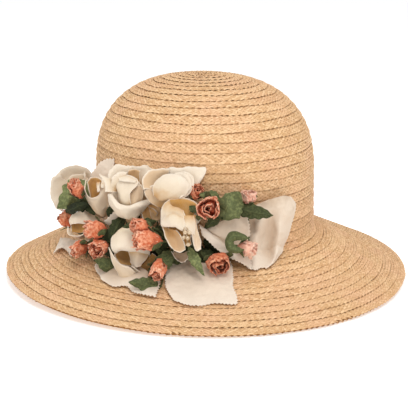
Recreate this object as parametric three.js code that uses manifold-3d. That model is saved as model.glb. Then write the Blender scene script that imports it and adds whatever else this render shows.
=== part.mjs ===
// A sewn raffia sun hat with a spray of cloth flowers, in millimetres, +Z up, the front toward -Y.
// Crown and brim are rows of flat braid, each row lapped over the next one out. The spray is sewn to the
// crown's front left, over the brim. Angles are in degrees and are counted from the front toward +X.
import * as THREE from 'three';
import { mergeVertices } from 'three/addons/utils/BufferGeometryUtils.js';
import Module from 'manifold-3d';

const wasm = await Module();
wasm.setup();
const { Manifold, Mesh: SolidMesh } = wasm;

const radians = THREE.MathUtils.degToRad;

// Driving dimensions of the straw
const halfWidth = 85;
const halfLength = 98;
const crownHeight = 119;
const domeHeight = 75;
const domePower = 2.54;
const taper = 0.99;
const wall = 2;
const crownRows = 25;
const brimRows = 12;
const rowStep = 0.8;
const rowDrop = 0.14;
const brimWidth = 80;
const sideSlope = 23.2;
const frontSlope = 24.4;
const backSlope = 29.4;
const lean = 1.06;

// Driving dimensions of the spray
const gap = 0.3;
const petalWall = 1.2;
const leafWall = 1;
const pearlRadius = 1.5;
const threadRoot = -8;
const threadRadius = 0.5;
const stemRadius = 1.6;
const stemDrop = 4;
const stemLowest = 2;
const slack = 0.1;
const tidiness = 0.05;

// The inside of the tip as a share of the ring next to it, and how the block that clears the straw meets the brim:
// the share of the crown it follows, its foot in clearances, and its reach past the brim's edge
const tipDisc = 0.7;
const blockCrown = 0.98;
const blockFoot = 3;
const blockReach = 1.1;

// How a rose's petals and heart are shaped, as shares of the petal or of the rose's size
const petalSteps = 24;
const petalBend = 0.6;
const petalFoot = 0.14;
const petalSpan = 0.76;
const petalFullness = 0.6;
const petalWrap = 1.5;
const ruffleHeight = 0.04;
const ruffleWaves = 4.5;
const heartDepth = 0.3;
const heartRadius = 0.16;
const heartRise = 0.06;

// How a leaf and a single cloth petal are shaped, as shares of their width or length
const leafTip = 0.08;
const leafPoint = 0.8;
const leafFold = 0.3;
const clothNeck = 0.55;
const clothFoot = 0.1;
const clothSpan = 0.75;
const clothTooth = 0.07;
const clothRound = 0.2;
const clothWave = 0.05;
const clothWaves = 3;

// How finely the straw and the inner wall are faceted
const sides = 28;
const domePoints = 24;
const wallPoints = 4;
const innerRings = 6;
const underRings = 4;
const blockRings = 16;

function table(columns, ...rows) {
  return rows.map((row) => Object.fromEntries(columns.map((name, i) => [name, row[i]])));
}

// One petal of each kind of rose: the turn round the rose, the length and width as shares of its size, the slope
// from the rose's axis at the root, the middle and the lip, and the radius that it starts at.
const petalColumns = ['turn', 'length', 'width', 'root', 'middle', 'lip', 'start'];
const petalKinds = {
  open: table(petalColumns,
    [90, 0.66, 0.95, 80, 38, 50, 0.07],
    [215, 0.7, 1.0, 85, 40, 75, 0.07],
    [330, 0.66, 0.95, 85, 42, 70, 0.07],
    [120, 0.44, 0.8, 60, 5, 0, 0.04]),
  full: table(petalColumns,
    [60, 0.68, 1.0, 85, 45, 85, 0.08],
    [180, 0.68, 1.0, 85, 45, 80, 0.08],
    [300, 0.68, 1.0, 85, 45, 85, 0.08]),
  bell: table(petalColumns,
    [100, 1.0, 1.0, 50, 12, 25, 0.1],
    [280, 0.9, 1.0, 50, 14, 30, 0.1]),
  broad: table(petalColumns,
    [40, 0.85, 1.1, 88, 75, 80, 0.08],
    [185, 0.6, 1.0, 85, 60, 50, 0.08],
    [280, 0.5, 0.9, 85, 40, 20, 0.08],
    [90, 0.55, 0.9, 75, 15, -40, 0.08]),
  hanging: table(petalColumns,
    [90, 0.62, 1.0, 75, 20, -25, 0.1],
    [228, 0.8, 0.62, 70, 50, 35, 0.1],
    [308, 0.8, 0.5, 70, 50, 30, 0.1]),
  folded: table(petalColumns,
    [80, 0.75, 1.2, 75, 20, -15, 0.1],
    [180, 0.62, 0.7, 70, 30, 20, 0.1],
    [285, 0.85, 0.75, 70, 45, 40, 0.1]),
};

// Each rose: its place, the way it faces, its roll, its size across, its petals, and whether it needs a stem to
// reach the straw
const placeColumns = ['name', 'around', 'radius', 'height', 'azimuth', 'elevation'];
const roses = table([...placeColumns, 'roll', 'size', 'kind', 'stem'],
  ['rose_far_left', -95, 106, 37, -105, 20, 0, 32, 'full', true],
  ['rose_bell', -70, 102, 36, -80, 42, 0, 26, 'bell', false],
  ['rose_open', -52, 104, 44, -35, 25, 0, 36, 'open', false],
  ['rose_upper_right', -32, 106, 54, -15, 20, 0, 36, 'broad', false],
  ['rose_hanging', -28, 114, 28, -25, -5, 0, 34, 'hanging', true],
  ['rose_folded', -47, 115, 5, -30, 0, 10, 34, 'folded', false],
  ['rose_small_left', -76, 110, 16, -70, 5, 0, 22, 'bell', true]);

// The hanging rose's pearls, across and up from its middle and out along the way that it faces
const pearls = table(['across', 'up', 'out'], [2, 0, 6], [4, -3.5, 6.5], [3.5, -7, 7], [6, -10, 7]);

// Each bud: its place, the way that its mouth faces, and its width and length
const buds = table([...placeColumns, 'width', 'length'],
  ['bud_left_top', -74, 116, 43, -65, 60, 10, 14],
  ['bud_left_outer', -86, 115, 14, -105, 35, 13, 13],
  ['bud_left_middle', -60, 122, 19, -95, 5, 12, 16],
  ['bud_left_low', -70, 120, 0, -75, -25, 11, 14],
  ['bud_left_inner', -58, 122, 6, -45, -10, 13, 13],
  ['bud_middle_high', -41, 122, 27, -85, 15, 9, 15],
  ['bud_middle', -38, 127, 18, -90, 5, 12, 20],
  ['bud_middle_low', -34, 130, 0, -35, -35, 11, 14],
  ['bud_right_top', -18, 114, 40, -20, 15, 16, 14],
  ['bud_right_low', -15, 121, 2, -10, -10, 14, 14],
  ['bud_right_pale', -5, 118, 11, 55, -10, 13, 14],
  ['bud_right_back', -2, 104, 44, -5, 50, 11, 10],
  ['bud_behind', -23, 104, 49, 15, 45, 9, 10]);

// Each leaf: its place, the way that its face looks, the turn of its tip toward the left, and its size
const leafColumns = [...placeColumns, 'roll', 'length', 'width', 'bend', 'stem'];
const leaves = table(leafColumns,
  ['leaf_left_top', -84, 113, 33, -55, 15, 150, 26, 17, 20, true],
  ['leaf_left_dark', -77, 110, 27, -40, 25, 200, 18, 11, 30, false],
  ['leaf_left_inner', -55, 115, 23, -35, 15, 240, 20, 10, 30, false],
  ['leaf_left_low', -55, 124, -4, -40, 35, 250, 19, 10, 30, false],
  ['leaf_middle_high', -42, 114, 30, -25, 30, 285, 20, 7, 20, false],
  ['leaf_middle', -34, 122, 2, -25, 15, 185, 18, 11, 30, false],
  ['leaf_middle_low', -38, 133, -11, -36, 60, 270, 24, 9, 30, false],
  ['leaf_right_low', -22, 122, 4, -15, 25, 205, 22, 9, 30, false],
  ['leaf_right_top', -18, 107, 47, -15, 25, 80, 17, 8, 30, false],
  ['leaf_right_round', -10, 110, 41, -15, 20, 330, 21, 15, 30, true],
  ['leaf_right_dark', -1, 109, 37, -5, 30, 262, 28, 10, 30, false],
  ['calyx', -9, 118, 17, -20, 20, 20, 18, 12, 60, false]);

// Each single cloth petal: as the leaves, with the number of teeth along its end
const clothPetals = table([...leafColumns, 'teeth'],
  ['petal_front', -20, 129, -9, -20, 64, 180, 46, 46, 20, false, 5],
  ['petal_lower_left', -45, 127, -10, -45, 64, 265, 48, 30, 20, false, 5],
  ['petal_right', 4, 107, 18, -5, 20, 330, 44, 36, 40, false, 0],
  ['petal_strip', -10, 118, 9, -20, 35, 242, 46, 11, 20, false, 6],
  ['petal_back', -74, 89, 55, -72, 12, 340, 20, 17, 20, false, 4],
  ['petal_star', -88, 115, -10, -84, 62, 180, 18, 20, 20, false, 3],
  ['petal_shard', -58, 112, 26, -40, 20, 130, 16, 8, 20, false, 2],
  ['petal_curl', -28, 117, 6, -20, -15, 180, 11, 11, 80, true, 0]);

// Straw

const meanRadius = (halfWidth + halfLength) / 2;

// The crown's meridian on its mean radius: a superellipse dome, then a wall that widens a little to the base
function crownMeridian() {
  const points = [];
  const power = 2 / domePower;
  for (let i = 0; i <= domePoints; i += 1) {
    const turn = (i / domePoints) * (Math.PI / 2);
    const out = meanRadius * taper * Math.sin(turn) ** power;
    points.push(new THREE.Vector2(out, crownHeight - domeHeight + domeHeight * Math.cos(turn) ** power));
  }
  for (let i = 1; i <= wallPoints; i += 1) {
    const share = i / wallPoints;
    const out = meanRadius * THREE.MathUtils.lerp(taper, 1, share);
    points.push(new THREE.Vector2(out, THREE.MathUtils.lerp(crownHeight - domeHeight, gap, share)));
  }
  return new THREE.SplineCurve(points);
}

const meridian = crownMeridian();

// A point of the hat's oval, scaled and then moved out along the oval's own normal
function ovalPoint(scale, out, angle) {
  const normal = new THREE.Vector2(Math.cos(angle) / halfWidth, Math.sin(angle) / halfLength).normalize();
  const x = halfWidth * scale * Math.cos(angle) + normal.x * out;
  const y = halfLength * scale * Math.sin(angle) + normal.y * out;
  return new THREE.Vector2(x, y);
}

// A point of the crown at a share of the way from tip to base, lifted off the wall
function crownPoint(share, lift, angle) {
  const at = meridian.getPointAt(share);
  const along = meridian.getTangentAt(share);
  const flat = ovalPoint(at.x / meanRadius, -along.y * lift, angle);
  return new THREE.Vector3(flat.x, flat.y, at.y + along.x * lift);
}

// The brim falls most at the back and least at the sides
function slopeAt(angle) {
  const front = Math.max(-Math.sin(angle), 0) ** 2;
  const back = Math.max(Math.sin(angle), 0) ** 2;
  return radians(sideSlope * Math.cos(angle) ** 2 + frontSlope * front + backSlope * back);
}

// A point of the brim at a distance out along its slope, lifted off its top face
function brimPoint(out, lift, angle) {
  const slope = out < 0 ? 0 : slopeAt(angle);
  const flat = ovalPoint(1, out * Math.cos(slope) + lift * Math.sin(slope), angle);
  return new THREE.Vector3(flat.x, flat.y, -out * Math.sin(slope) + lift * Math.cos(slope));
}

function ringOf(pointAt) {
  return Array.from({ length: sides }, (_, i) => pointAt((i / sides) * 2 * Math.PI));
}

// A closed surface through rings of points, ended by two poles or closed on itself when it has none
function skin(rings, poles = []) {
  const points = [...rings.flat(), ...poles];
  const faces = [];
  const steps = poles.length ? rings.length - 1 : rings.length;
  for (let i = 0; i < steps; i += 1) {
    const upper = i * sides;
    const lower = ((i + 1) % rings.length) * sides;
    for (let j = 0; j < sides; j += 1) {
      const next = (j + 1) % sides;
      faces.push(upper + j, lower + j, lower + next, upper + j, lower + next, upper + next);
    }
  }
  if (poles.length) {
    const first = rings.length * sides;
    const last = (rings.length - 1) * sides;
    for (let j = 0; j < sides; j += 1) {
      const next = (j + 1) % sides;
      faces.push(first, j, next, first + 1, last + next, last + j);
    }
  }
  return meshGeometry(points, faces);
}

function meshGeometry(points, faces) {
  const geometry = new THREE.BufferGeometry().setFromPoints(points);
  geometry.setIndex(faces);
  return geometry;
}

// The two edges of each row of braid: where it comes out from under the row before, and its own lapped edge
function rowEdges(count) {
  const edges = [];
  for (let row = 0; row < count; row += 1) {
    edges.push({ share: (row + rowDrop) / count, lift: 0 });
    edges.push({ share: (row + 1) / count, lift: rowStep });
  }
  return edges;
}

function crownGeometry() {
  const outer = rowEdges(crownRows).map(({ share, lift }) => ringOf((angle) => crownPoint(share, lift, angle)));
  const inner = [];
  for (let i = 0; i < innerRings; i += 1) {
    inner.push(ringOf((angle) => crownPoint(1 - i / innerRings, -wall, angle)));
  }
  const tip = new THREE.Vector3(0, 0, crownHeight + rowStep / 2);
  // The ring next to the tip and the tip inside it share one height, so the hat has a flat disc to rest on a block.
  const discHeight = crownHeight - wall - rowStep / 2;
  const disc = inner[innerRings - 1].map((point) => point.clone().multiplyScalar(tipDisc).setZ(discHeight));
  return skin([...outer, ...inner, disc], [tip, new THREE.Vector3(0, 0, discHeight)]);
}

function brimGeometry() {
  const place = (out, lift) => ringOf((angle) => brimPoint(out, lift, angle));
  const top = rowEdges(brimRows).map(({ share, lift }) => place(share * brimWidth, lift));
  const under = [];
  for (let i = 0; i < underRings; i += 1) {
    under.push(place(brimWidth * (1 - i / underRings), -wall));
  }
  return skin([place(-wall, 0), place(0, 0), ...top, ...under, place(0, -wall), place(-wall, -wall)]);
}

// The hat as a solid block with a gap round it, which the flowers are cut by
function hatBlock() {
  const clear = rowStep + gap + slack;
  const rings = [];
  for (let i = 1; i <= blockRings; i += 1) {
    rings.push(ringOf((angle) => crownPoint((blockCrown * i) / blockRings, clear, angle)));
  }
  for (let i = 0; i <= underRings; i += 1) {
    const out = THREE.MathUtils.lerp(blockFoot * clear, blockReach * brimWidth, i / underRings);
    rings.push(ringOf((angle) => brimPoint(out, clear, angle)));
  }
  const floor = -crownHeight;
  rings.push(rings.at(-1).map((point) => point.clone().setZ(floor)));
  return solidOf(skin(rings, [new THREE.Vector3(0, 0, crownHeight + clear), new THREE.Vector3(0, 0, floor)]));
}

// Solids

function solidOf(geometry) {
  geometry.deleteAttribute('normal');
  geometry.deleteAttribute('uv');
  const merged = mergeVertices(geometry, 1e-4);
  const vertProperties = new Float32Array(merged.attributes.position.array);
  const triVerts = new Uint32Array(merged.index.array);
  return new Manifold(new SolidMesh({ numProp: 3, vertProperties, triVerts }));
}

function geometryOf(solid) {
  const { vertProperties, triVerts, numProp } = solid.getMesh();
  const geometry = new THREE.BufferGeometry();
  const positions = [];
  for (let i = 0; i < vertProperties.length; i += numProp) {
    positions.push(vertProperties[i], vertProperties[i + 1], vertProperties[i + 2]);
  }
  geometry.setAttribute('position', new THREE.Float32BufferAttribute(positions, 3));
  geometry.setIndex([...triVerts]);
  return geometry;
}

// A sheet given by a point for each place across (-1 to 1) and along (0 to 1), with a thickness
function thickSheet(pointAt, columns, rows, thickness, extra) {
  const grid = [];
  for (let j = 0; j <= rows; j += 1) {
    for (let i = 0; i <= columns; i += 1) {
      grid.push(pointAt((2 * i) / columns - 1, j / rows));
    }
  }
  const at = (i, j) => grid[THREE.MathUtils.clamp(j, 0, rows) * (columns + 1) + THREE.MathUtils.clamp(i, 0, columns)];
  const front = [];
  const back = [];
  for (let j = 0; j <= rows; j += 1) {
    for (let i = 0; i <= columns; i += 1) {
      const across = at(i + 1, j).clone().sub(at(i - 1, j)).normalize();
      const along = at(i, j + 1).clone().sub(at(i, j - 1)).normalize();
      const normal = across.clone().cross(along).normalize().multiplyScalar(thickness / 2 + extra);
      const rim = new THREE.Vector3();
      rim.addScaledVector(across, extra * ((i === columns) - (i === 0)));
      rim.addScaledVector(along, extra * ((j === rows) - (j === 0)));
      const middle = at(i, j).clone().add(rim);
      front.push(middle.clone().add(normal));
      back.push(middle.clone().sub(normal));
    }
  }
  const faces = [];
  const size = front.length;
  const index = (i, j) => j * (columns + 1) + i;
  for (let j = 0; j < rows; j += 1) {
    for (let i = 0; i < columns; i += 1) {
      const [a, b, c, d] = [index(i, j), index(i + 1, j), index(i + 1, j + 1), index(i, j + 1)];
      faces.push(a, b, c, a, c, d, size + a, size + c, size + b, size + a, size + d, size + c);
    }
  }
  const rimLoop = [];
  for (let i = 0; i < columns; i += 1) rimLoop.push(index(i, 0));
  for (let j = 0; j < rows; j += 1) rimLoop.push(index(columns, j));
  for (let i = columns; i > 0; i -= 1) rimLoop.push(index(i, rows));
  for (let j = rows; j > 0; j -= 1) rimLoop.push(index(0, j));
  rimLoop.forEach((a, i) => {
    const b = rimLoop[(i + 1) % rimLoop.length];
    faces.push(b, a, size + a, b, size + a, size + b);
  });
  return meshGeometry([...front, ...back], faces);
}

const smooth = (value, from, to) => THREE.MathUtils.smoothstep(value, from, to);

// A petal: a patch of a surface of revolution about the rose's axis, whose slope changes from root to lip
function petalSurface(petal, size) {
  const length = petal.length * size;
  const half = (petal.width * size) / 2;
  const spine = [new THREE.Vector2(petal.start * size, 0)];
  for (let i = 0; i < petalSteps; i += 1) {
    const share = (i + 0.5) / petalSteps;
    const bent = THREE.MathUtils.lerp(petal.root, petal.middle, smooth(share, 0, petalBend));
    const slope = radians(THREE.MathUtils.lerp(bent, petal.lip, smooth(share, petalBend, 1)));
    const step = new THREE.Vector2(Math.sin(slope), Math.cos(slope)).multiplyScalar(length / petalSteps);
    spine.push(spine[i].clone().add(step));
  }
  return (across, along) => {
    const place = THREE.MathUtils.clamp(along * petalSteps, 0, petalSteps);
    const low = Math.min(Math.floor(place), petalSteps - 1);
    const at = spine[low].clone().lerp(spine[low + 1], place - low);
    const reach = half * Math.sin(Math.PI * (petalFoot + petalSpan * along)) ** petalFullness;
    const wrap = Math.max(at.x, reach / petalWrap);
    const angle = radians(petal.turn) - (across * reach) / wrap;
    const ruffle = ruffleHeight * size * along ** 2 * Math.sin(ruffleWaves * across + petal.turn);
    return new THREE.Vector3(at.x * Math.cos(angle), at.x * Math.sin(angle), at.y + ruffle);
  };
}

// The way that a piece faces and is rolled, as a matrix at its place
function frameOf({ around, radius, height, azimuth, elevation, roll = 0 }) {
  const [turn, rise] = [radians(azimuth), radians(elevation)];
  const facing = new THREE.Vector3(Math.sin(turn) * Math.cos(rise), -Math.cos(turn) * Math.cos(rise), Math.sin(rise));
  const right = new THREE.Vector3(0, 0, 1).cross(facing).normalize();
  const top = facing.clone().cross(right);
  const place = new THREE.Vector3(radius * Math.sin(radians(around)), -radius * Math.cos(radians(around)), height);
  const frame = new THREE.Matrix4().makeBasis(right, top, facing).setPosition(place);
  return frame.multiply(new THREE.Matrix4().makeRotationZ(radians(roll)));
}

// A rose: a small heart, its petals and a short stem that runs back to the straw, as one body
function roseSolid(rose, extra) {
  const frame = frameOf(rose);
  const { size } = rose;
  const sink = new THREE.Matrix4().makeTranslation(0, 0, -heartDepth * size);
  const heart = new THREE.SphereGeometry(heartRadius * size + extra, 6, 4).translate(0, 0, heartRise * size);
  let solid = solidOf(heart.applyMatrix4(sink).applyMatrix4(frame));
  for (const petal of petalKinds[rose.kind]) {
    const sheet = thickSheet(petalSurface(petal, size), 3, 3, petalWall, extra);
    solid = solid.add(solidOf(sheet.applyMatrix4(sink).applyMatrix4(frame)));
  }
  return rose.stem ? solid.add(stemSolid(rose, extra)) : solid;
}

// A stem from a piece's place to the crown's wall, or down to the brim where that is nearer
function stemSolid({ around, radius, height }, extra) {
  const turn = radians(around);
  const from = new THREE.Vector3(radius * Math.sin(turn), -radius * Math.cos(turn), height);
  const inward = from.clone().multiplyScalar((halfWidth - wall) / radius);
  inward.setZ(Math.max(height - stemDrop, stemLowest));
  const length = from.distanceTo(inward);
  const stem = new THREE.CylinderGeometry(stemRadius + extra, stemRadius + extra, length, 4);
  stem.translate(0, length / 2, 0);
  const way = inward.clone().sub(from).normalize();
  stem.applyQuaternion(new THREE.Quaternion().setFromUnitVectors(new THREE.Vector3(0, 1, 0), way));
  return solidOf(stem.translate(from.x, from.y, from.z));
}

// A bud's outline from its foot to the bottom of its mouth, as shares of its half width and half length
const budProfile = table(['out', 'up'],
  [0, -1],
  [0.62, -0.72],
  [1, -0.1],
  [0.86, 0.62],
  [0.58, 1],
  [0.4, 0.62],
  [0, 0.4]);

// A bud: a pointed cup with a rolled mouth
function budSolid(bud, extra) {
  const profile = budProfile.map(({ out, up }) => new THREE.Vector2((out * bud.width) / 2, (up * bud.length) / 2));
  const last = profile.length - 1;
  const points = profile.map((point, i) => {
    const along = profile[Math.min(i + 1, last)].clone().sub(profile[Math.max(i - 1, 0)]).normalize();
    const grown = new THREE.Vector2(point.x + along.y * extra, point.y - along.x * extra);
    return i === 0 || i === last ? grown.setX(0) : grown;
  });
  const cup = new THREE.LatheGeometry(points, 6).rotateX(Math.PI / 2);
  return solidOf(cup.applyMatrix4(frameOf(bud))).add(stemSolid(bud, extra));
}

// A leaf: a pointed blade folded along its midrib and bent along its length
function leafSolid(leaf, extra) {
  const bend = radians(leaf.bend);
  const surface = (across, along) => {
    const half = (leaf.width / 2) * THREE.MathUtils.lerp(Math.sin(Math.PI * along ** leafPoint), 1, leafTip);
    const turn = (along - 0.5) * bend;
    const out = leaf.length / bend;
    const fold = -leafFold * half * Math.abs(across);
    return new THREE.Vector3(across * half, Math.sin(turn) * out, (Math.cos(turn) - 1) * out + fold);
  };
  const blade = solidOf(thickSheet(surface, 2, 3, leafWall, extra).applyMatrix4(frameOf(leaf)));
  return leaf.stem ? blade.add(stemSolid(leaf, extra)) : blade;
}

// A single cloth petal: a broad sheet with a toothed end
function clothPetalSolid(petal, extra) {
  const bend = radians(petal.bend);
  const surface = (across, along) => {
    const fullness = Math.sin(Math.PI * (clothFoot + clothSpan * along));
    const half = (petal.width / 2) * THREE.MathUtils.lerp(fullness, 1, clothNeck);
    const tooth = clothTooth * Math.cos(Math.PI * petal.teeth * across) * along ** 3;
    const round = -clothRound * across ** 2 * along ** 2;
    const turn = (along + (petal.teeth ? tooth : round) - 0.5) * bend;
    const out = petal.length / bend;
    const wave = clothWave * petal.width * Math.sin(clothWaves * across + petal.roll);
    return new THREE.Vector3(across * half, Math.sin(turn) * out, (Math.cos(turn) - 1) * out + wave);
  };
  const sheet = solidOf(thickSheet(surface, 4, 3, petalWall, extra).applyMatrix4(frameOf(petal)));
  return petal.stem ? sheet.add(stemSolid(petal, extra)) : sheet;
}

// The pearls and the short thread between them, as one body
function pearlSolid(extra) {
  const frame = frameOf(roses.find(({ name }) => name === 'rose_hanging'));
  const places = pearls.map(({ across, up, out }) => new THREE.Vector3(across, up, out));
  const beads = places.map((place) => {
    const bead = new THREE.SphereGeometry(pearlRadius + extra, 5, 4).translate(place.x, place.y, place.z);
    return solidOf(bead.applyMatrix4(frame));
  });
  const path = new THREE.CatmullRomCurve3([new THREE.Vector3(0, 0, threadRoot - extra), ...places]);
  const circle = new THREE.Shape().absarc(0, 0, threadRadius + extra, 0, 2 * Math.PI);
  const thread = new THREE.ExtrudeGeometry(circle, { steps: 6, extrudePath: path, curveSegments: 2 });
  return beads.reduce((solid, bead) => solid.add(bead), solidOf(thread.applyMatrix4(frame)));
}

// The assembly

function standard(color, roughness) {
  return new THREE.MeshStandardMaterial({ color, roughness, metalness: 0, flatShading: true });
}

const straw = standard(0xd9b27c, 0.8);
const ivory = standard(0xeee2cf, 0.85);
const salmon = standard(0xe0907a, 0.85);
const green = standard(0x4d6b46, 0.85);
const pearl = standard(0xf3e6cd, 0.35);

const body = new THREE.Group();
const addMesh = (name, geometry, material) => {
  const mesh = new THREE.Mesh(geometry, material);
  mesh.name = name;
  body.add(mesh);
};

addMesh('crown', crownGeometry(), straw);
addMesh('brim', brimGeometry(), straw);

// Earlier pieces keep their shape, and each later piece is cut a gap clear of them and of the straw.
const spray = [
  { name: 'pearls', material: pearl, solid: pearlSolid },
  ...buds.map((bud) => ({ name: bud.name, material: salmon, solid: (extra) => budSolid(bud, extra) })),
  ...roses.map((rose) => ({ name: rose.name, material: ivory, solid: (extra) => roseSolid(rose, extra) })),
  ...leaves.map((leaf) => ({ name: leaf.name, material: green, solid: (extra) => leafSolid(leaf, extra) })),
  ...clothPetals.map((petal) => {
    return { name: petal.name, material: ivory, solid: (extra) => clothPetalSolid(petal, extra) };
  }),
];

const taken = [hatBlock()];
for (const piece of spray) {
  let solid = piece.solid(0);
  for (const other of taken) {
    solid = solid.subtract(other);
  }
  const largest = solid.decompose().sort((a, b) => b.volume() - a.volume())[0];
  addMesh(piece.name, geometryOf(largest.simplify(tidiness)), piece.material);
  taken.push(piece.solid(gap));
}

// The hat leans forward until the front and back of its brim lie level. Its box's foot is the origin.
const hat = new THREE.Group();
body.rotation.x = radians(lean);
hat.add(body);
hat.updateMatrixWorld(true);
const box = new THREE.Box3().setFromObject(hat, true);
const middle = box.getCenter(new THREE.Vector3());
body.position.set(-middle.x, -middle.y, -box.min.z);

export default hat;
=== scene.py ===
# %% [markdown]
# A raffia sun hat with a spray of cloth flowers. The real hat is one long flat braid of raffia, sewn in a
# spiral from the tip of its crown to the edge of its brim. A spray of ivory roses, salmon buds and green
# leaves is sewn on at the front left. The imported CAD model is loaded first. It is the frame that every piece
# below is fitted to.

# %% Load the frame
import math

import bpy
import numpy as np
from mathutils import Matrix, Vector, noise


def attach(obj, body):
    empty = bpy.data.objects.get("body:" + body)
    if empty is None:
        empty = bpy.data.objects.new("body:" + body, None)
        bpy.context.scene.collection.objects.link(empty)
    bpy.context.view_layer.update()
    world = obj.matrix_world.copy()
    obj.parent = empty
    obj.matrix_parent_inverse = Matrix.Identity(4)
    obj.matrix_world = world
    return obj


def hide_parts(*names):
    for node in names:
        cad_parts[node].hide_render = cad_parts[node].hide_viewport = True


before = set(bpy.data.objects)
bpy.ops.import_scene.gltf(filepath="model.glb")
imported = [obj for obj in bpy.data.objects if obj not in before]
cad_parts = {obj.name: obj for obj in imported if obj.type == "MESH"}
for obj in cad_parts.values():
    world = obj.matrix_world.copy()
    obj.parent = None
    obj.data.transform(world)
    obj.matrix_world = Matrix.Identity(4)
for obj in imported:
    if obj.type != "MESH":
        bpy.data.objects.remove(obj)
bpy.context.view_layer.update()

# %% [markdown]
# A hat is easiest to think of upright, in millimetres, with the foot of its crown at height 0 and its front
# toward -Y. The real one leans forward by a degree, because its brim is steeper at the back and lies on its
# whole edge. These helpers turn hat millimetres into the frame's metres, so that no piece has to be fitted by
# eye.

# %% From the hat's millimetres to the frame's metres
LEAN = math.radians(1.06)
LEAN_MATRIX = np.array([[1, 0, 0], [0, math.cos(LEAN), -math.sin(LEAN)], [0, math.sin(LEAN), math.cos(LEAN)]])
CROWN_FOOT = np.array([0.0, 0.89165, 38.00918])


def to_frame(points):
    return (np.asarray(points, float) @ LEAN_MATRIX.T + CROWN_FOOT) / 1000


def turn_to_frame(directions):
    return np.asarray(directions, float) @ LEAN_MATRIX.T


# %% [markdown]
# The camera comes before the modelling, so every later choice can be judged from where the photographer
# stood: a long lens, 20 degrees toward the hat's right, and a little above the brim.

# %% Camera
CAMERA_TURN = math.radians(-20)
CAMERA_RISE = math.radians(14.27)
CAMERA_TARGET = np.array([0, 0, 14.3])
CAMERA_DISTANCE = 850
CAMERA_LENS = 92.65
SENSOR_WIDTH = 36
IMAGE_WIDTH = 408
IMAGE_MIDDLE = IMAGE_WIDTH / 2
LENS_PIXELS = CAMERA_LENS / SENSOR_WIDTH * IMAGE_WIDTH
CLIP_START = 0.01
OUT_AXIS = np.array([
    math.sin(CAMERA_TURN) * math.cos(CAMERA_RISE),
    -math.cos(CAMERA_TURN) * math.cos(CAMERA_RISE),
    math.sin(CAMERA_RISE),
])
RIGHT_AXIS = np.array([math.cos(CAMERA_TURN), math.sin(CAMERA_TURN), 0])
UP_AXIS = np.cross(OUT_AXIS, RIGHT_AXIS)
PICTURE_AXES = np.stack([RIGHT_AXIS, UP_AXIS, OUT_AXIS])
EYE = CAMERA_TARGET + CAMERA_DISTANCE * OUT_AXIS


def make_camera():
    camera = bpy.data.objects.new("camera", bpy.data.cameras.new("camera"))
    bpy.context.scene.collection.objects.link(camera)
    camera.data.lens = CAMERA_LENS
    camera.data.sensor_width = SENSOR_WIDTH
    camera.data.clip_start = CLIP_START
    place = Matrix.Identity(4)
    for column, axis in enumerate(PICTURE_AXES):
        for row, value in enumerate(turn_to_frame(axis)):
            place[row][column] = value
    for row, value in enumerate(to_frame(EYE)):
        place[row][3] = value
    camera.matrix_world = place
    bpy.context.scene.camera = camera
    return camera


camera = make_camera()
print("camera at", [round(x, 3) for x in camera.matrix_world.translation])

# %% [markdown]
# The flowers follow no rule, so they are drawn: a point is given by the pixel where the camera sees it, and
# by how deep it lies behind that pixel. These helpers turn one into the other.

# %% Points as the camera sees them
def seen_at(x, y, depth):
    """The point, in hat millimetres, that shows at a pixel and lies at a depth."""
    x, y, depth = np.broadcast_arrays(np.asarray(x, float), np.asarray(y, float), np.asarray(depth, float))
    aside = ((x - IMAGE_MIDDLE) / LENS_PIXELS)[..., None] * RIGHT_AXIS
    above = ((IMAGE_MIDDLE - y) / LENS_PIXELS)[..., None] * UP_AXIS
    return EYE + depth[..., None] * (aside + above - OUT_AXIS)


def depth_of(point):
    return (EYE - point) @ OUT_AXIS


# %% [markdown]
# The straw's shape is a rule. The crown is a dome on a slightly flared wall, over an oval a little longer
# than wide. The brim slopes down from it, most at the back. Rows of braid are counted along that shape from
# the tip outwards, 25 on the crown and 12 on the brim, so one number says how far down the hat a point is.

# %% The straw's shape
HALF_WIDTH = 85
HALF_LENGTH = 98
MEAN_RADIUS = (HALF_WIDTH + HALF_LENGTH) / 2
CROWN_HEIGHT = 119
DOME_HEIGHT = 75
DOME_POWER = 2.54
TAPER = 0.99
WALL_FOOT = 0.3
CROWN_ROWS = 25
BRIM_ROWS = 12
ALL_ROWS = CROWN_ROWS + BRIM_ROWS
BRIM_WIDTH = 80
SIDE_SLOPE = 23.2
FRONT_SLOPE = 24.4
BACK_SLOPE = 29.4
TIP_SHARE = 0.05


def crown_meridian(steps=600):
    turn = np.linspace(0, math.pi / 2, steps)
    power = 2 / DOME_POWER
    out = MEAN_RADIUS * TAPER * np.sin(turn) ** power
    up = CROWN_HEIGHT - DOME_HEIGHT + DOME_HEIGHT * np.clip(np.cos(turn), 0, 1) ** power
    down = np.linspace(0, 1, steps)[1:]
    out = np.concatenate([out, MEAN_RADIUS * (TAPER + (1 - TAPER) * down)])
    up = np.concatenate([up, (CROWN_HEIGHT - DOME_HEIGHT) * (1 - down) + WALL_FOOT * down])
    reach = np.concatenate([[0], np.cumsum(np.hypot(np.diff(out), np.diff(up)))])
    return reach / reach[-1], out, up


MERIDIAN_SHARE, MERIDIAN_OUT, MERIDIAN_UP = crown_meridian()


def slope_at(angle):
    front = np.clip(-np.sin(angle), 0, 1) ** 2
    back = np.clip(np.sin(angle), 0, 1) ** 2
    return np.radians(SIDE_SLOPE * np.cos(angle) ** 2 + FRONT_SLOPE * front + BACK_SLOPE * back)


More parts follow.
